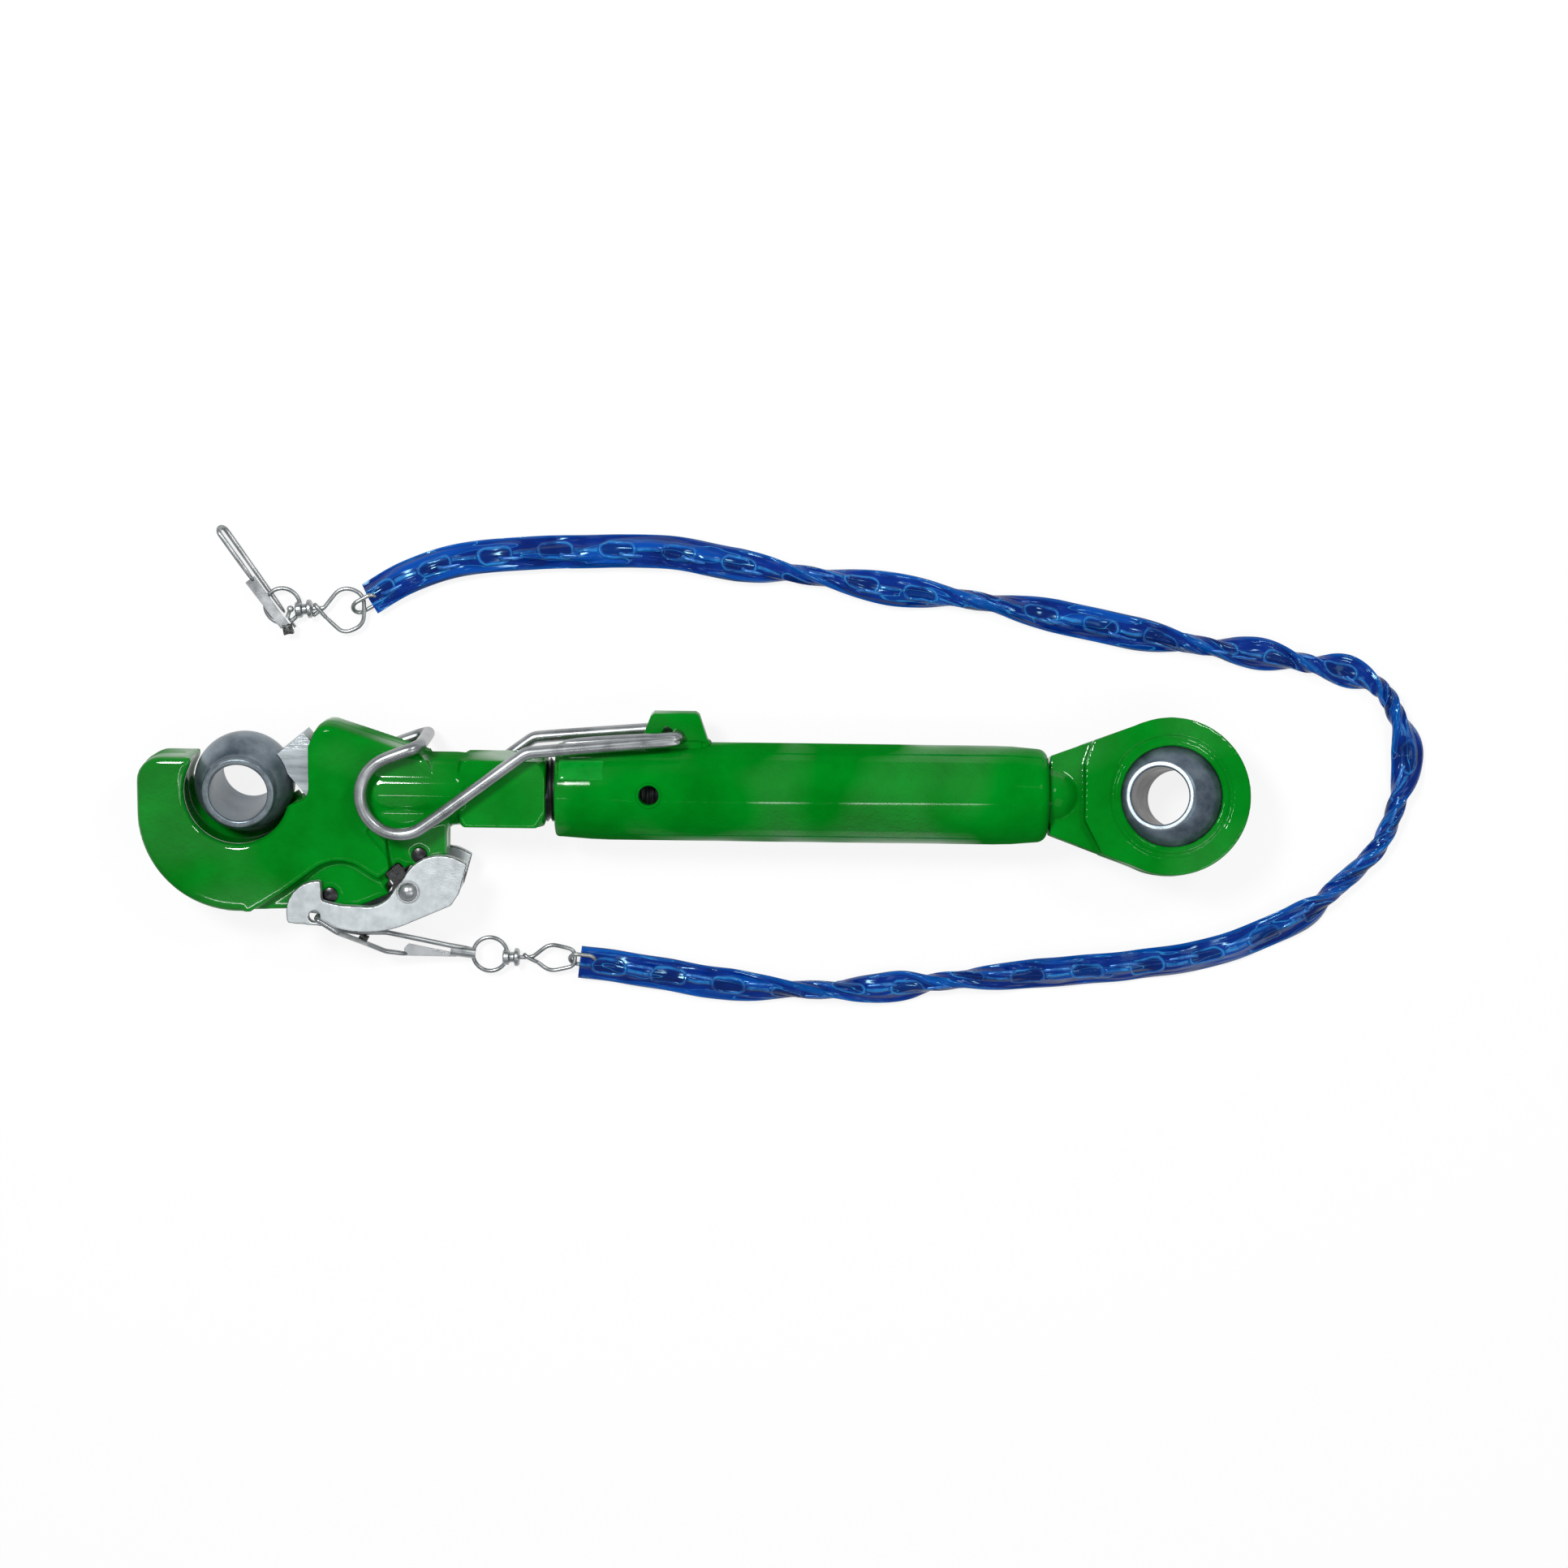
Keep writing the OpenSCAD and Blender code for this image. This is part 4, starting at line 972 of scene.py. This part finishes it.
# ---------------------------------------------------------------- release lever
# Two cheeks and a back, pressed from one plate into a channel and hot-dip galvanised. It
# turns on a pin with a peened head and a washer at both ends.
galvanised = finish(
    "tumbled galvanised plate", (0.42, 0.45, 0.46), (0.57, 0.61, 0.62),
    cloud_size=150, rough=(0.34, 0.5), fine=1300, coarse=160,
    fine_share=0.5, strength=0.35, depth=0.0010, Metallic=0.6,
)
plate_edge_shade = finish(
    "painted shade on the plate's edges", (0.07, 0.07, 0.066), (0.17, 0.17, 0.165),
    cloud_size=200, rough=(0.3, 0.45), fine=1300, coarse=200,
    fine_share=0.5, strength=0.4, depth=0.0008, Metallic=0.5,
)
lever = new_piece(
    "lever_plate", merged_copy("release_lever"), galvanised, "lever",
)
one_skin(lever, 0.6 * MM, 7)
lever.data.materials.append(plate_edge_shade)
# Painted shade: faces that look neither up nor along the plate, its rounded edges, get a dark
# material
for face in lever.data.polygons:
    if 0.15 < abs(face.normal.z) < 0.965:
        face.material_index = 1
lever.data.shade_smooth()
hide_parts("release_lever")
pin_zinc = finish(
    "zinc plate on the lever pin", (0.28, 0.29, 0.30), (0.46, 0.475, 0.48),
    cloud_size=90, rough=(0.25, 0.4), fine=1400, coarse=300,
    fine_share=0.5, strength=0.15, depth=0.0005, Metallic=0.9,
)
eased_piece("lever_pin_steel", "lever_pin", 0.4 * MM, pin_zinc, "pawl")
eased_piece("lever_pin_washers", "lever_washers", 0.2 * MM, pin_zinc, "pawl", 1)


# ---------------------------------------------------------------- snap hooks, swivels and links
# Small zinc-plated wire fittings at both ends of the pull chain: a snap hook with a flat
# spring strap, a ring, a swivel, a twisted pear link, and the chain's own end link.
CHAIN_Z = FLOOR + 6.5 * MM
TAIL_R = 1.2 * MM
TAIL_STEPS = 6
TAIL_SIDES = 12
black_zinc = finish(
    "oily black of the clamps", (0.015, 0.018, 0.017), (0.12, 0.125, 0.12),
    cloud_size=500, rough=(0.25, 0.45), fine=1400, coarse=400,
    fine_share=0.5, strength=0.4, depth=0.0006, Metallic=0.8,
)


def wire_tail(bm, points):
    """The bare end of a link's wire, bent round the swivel's shank: points in mm, round tips."""
    steps = TAIL_STEPS * (len(points) - 1)

    def spot(k):
        return MM * curve_point(points, max(0, min(steps, k)) / TAIL_STEPS)

    def place(t, a):
        k = round(t * steps)
        way = (spot(k + 1) - spot(k - 1)).normalized()
        side = way.cross(Vector((0, 0, 1))).normalized()
        thick = TAIL_R * (0, 0.75, 1)[min(2, k, steps - k)]
        return spot(k) + (side * math.cos(a) + side.cross(way) * math.sin(a)) * thick

    wrap_tube(bm, steps, TAIL_SIDES, place)


CLAMP_WAIST = 0.16


def pressed_clamp(name, centre, turn, size):
    """A small steel sleeve, pressed round two wires and waisted by the tool."""
    bm = bmesh.new()
    bmesh.ops.create_cube(bm, size=1)
    lengthwise = [e for e in bm.edges if abs(e.verts[0].co.x - e.verts[1].co.x) > 0.5]
    bmesh.ops.subdivide_edges(bm, edges=lengthwise, cuts=3, use_grid_fill=True)
    for vert in bm.verts:
        waist = 1 - CLAMP_WAIST * (1 - (2 * vert.co.x) ** 2)
        vert.co.y *= waist
        vert.co.z *= waist
    bmesh.ops.scale(bm, vec=size, verts=bm.verts)
    round_edges(bm, 0.7 * MM, 3)
    bmesh.ops.rotate(bm, verts=bm.verts, matrix=Matrix.Rotation(turn, 3, "Z"))
    bmesh.ops.translate(bm, verts=bm.verts, vec=centre)
    new_piece(name, bm, black_zinc, "pull_chain")


UPPER_PEAR = Vector((-478.5, 97.6, CHAIN_Z / MM))
LOWER_PEAR = Vector((-362.4, -102.3, CHAIN_Z / MM))
# Each tail's points run from the link's own wire over the shank
for name, start, tails in (
    ("upper_pear_tails", UPPER_PEAR, (
        ((4.9, -5.9, 0), (2.6, -3.2, 0.7), (0.2, 0.2, 2.1), (-2.2, 2.6, 0.6)),
        ((4.0, 0.9, 0), (1.2, -1.6, -1.6), (-1.2, -3.2, -1.2), (-3.0, -4.6, 0.0)),
    )),
    ("lower_pear_tails", LOWER_PEAR, (
        ((7.2, -2.7, 0), (4.2, -0.9, 1.5), (1.4, 0.8, 2.2), (-0.8, 2.4, 0.9)),
    )),
):
    bm = bmesh.new()
    for tail in tails:
        wire_tail(bm, [start + Vector(point) for point in tail])
    bmesh.ops.recalc_face_normals(bm, faces=bm.faces)
    new_piece(name, bm, zinc_wire, "pull_chain")
pressed_clamp(
    "lower_snap_latch", (-452.4 * MM, -88.0 * MM, -4.2 * MM), math.radians(-28),
    (5.2 * MM, 6.0 * MM, 4.4 * MM),
)
pressed_clamp(
    "upper_snap_clamp", (-495.2 * MM, 85.6 * MM, CHAIN_Z + 1.8 * MM), math.radians(10),
    (5.6 * MM, 6.4 * MM, 5.0 * MM),
)
for end in ("lower", "upper"):
    for part, node_name, wire, thicker in (
        ("_snap_wire", "_snap_hook", 2.6 * MM, 1.12), ("_pear_wire", "_pear_link", 2.4 * MM, 1.0),
    ):
        smooth_wire(
            end + part, end + node_name, wire, 8, zinc_wire, "pull_chain", thicker,
        )
    for part, node_name, width, segments in (
        ("_snap_strap", "_snap_gate", 0.25 * MM, 1), ("_swivel_steel", "_swivel", 0.35 * MM, 2),
    ):
        eased_piece(
            end + part, end + node_name, width, pin_zinc, "pull_chain", segments,
        )
    dress(end + "_snap_ring", zinc_wire)
    dress(end + "_end_link", zinc_wire)


# ---------------------------------------------------------------- floor, lamps and world
# A plain pale floor that keeps the soft shadow, one small lamp over the hook's side, two
# weaker ones over the eye's side, a long strip that draws the tube's gloss, and an even world.
FLOOR_HALF = 60
FLOOR_GLOW = 0.86


def backdrop(tree):
    """Where the camera looks, directly or by gloss or through something."""
    rays = node(tree, "ShaderNodeLightPath").outputs
    seen = shade(tree, "MAXIMUM", rays["Is Camera Ray"], rays["Is Transmission Ray"])
    return shade(tree, "MAXIMUM", seen, rays["Is Glossy Ray"])


bm = bmesh.new()
bmesh.ops.create_grid(bm, x_segments=1, y_segments=1, size=FLOOR_HALF)
bmesh.ops.translate(bm, verts=bm.verts, vec=(0, 0, FLOOR - 0.1 * MM))
ground_mesh = bpy.data.meshes.new("floor")
bm.to_mesh(ground_mesh)
bm.free()
ground = bpy.data.objects.new("floor", ground_mesh)
bpy.context.scene.collection.objects.link(ground)
ground_material, tree, floor_surface = blank_material(
    "pale floor", Base_Color=(0.8, 0.8, 0.8, 1), Roughness=0.9, Specular_IOR_Level=0.0,
)
glow = node(tree, "ShaderNodeEmission", in_Strength=1.0)
both = node(tree, "ShaderNodeMixShader")
tree.links.new(shade(tree, "MULTIPLY", backdrop(tree), FLOOR_GLOW), both.inputs[0])
tree.links.new(floor_surface.outputs[0], both.inputs[1])
tree.links.new(glow.outputs[0], both.inputs[2])
tree.links.new(both.outputs[0], tree.nodes["Material Output"].inputs["Surface"])
ground_mesh.materials.append(ground_material)

world = bpy.data.worlds.new("surround")
bpy.context.scene.world = world
world.use_nodes = True
background = world.node_tree.nodes["Background"]
background.inputs["Color"].default_value = (0.92, 0.96, 1.0, 1)
background.inputs["Strength"].default_value = 0.42


def lamp(name, place, aim, size, power, deep=None):
    """A square area lamp, or a strip where deep is given, turned to its aim."""
    data = bpy.data.lights.new(name, "AREA")
    data.size = size
    if deep:
        data.shape = "RECTANGLE"
        data.size_y = deep
    data.energy = power
    made = bpy.data.objects.new(name, data)
    bpy.context.scene.collection.objects.link(made)
    made.location = place
    made.rotation_euler = (Vector(aim) - Vector(place)).to_track_quat("-Z", "Y").to_euler()


MIDDLE = (-0.2, 0, 0)
lamp("key lamp", (-0.85, 0.75, 1.6), MIDDLE, size=0.35, power=26)
lamp("fill lamp", (0.9, -0.5, 1.6), MIDDLE, size=0.9, power=6)
lamp("edge lamp", (0.55, 0.95, 1.5), MIDDLE, size=0.3, power=8)
lamp("strip lamp", (-0.3, -0.45, 1.6), (-0.3, 0, 0), size=1.1, power=1.8, deep=0.03)

bpy.context.scene.view_settings.view_transform = "Standard"
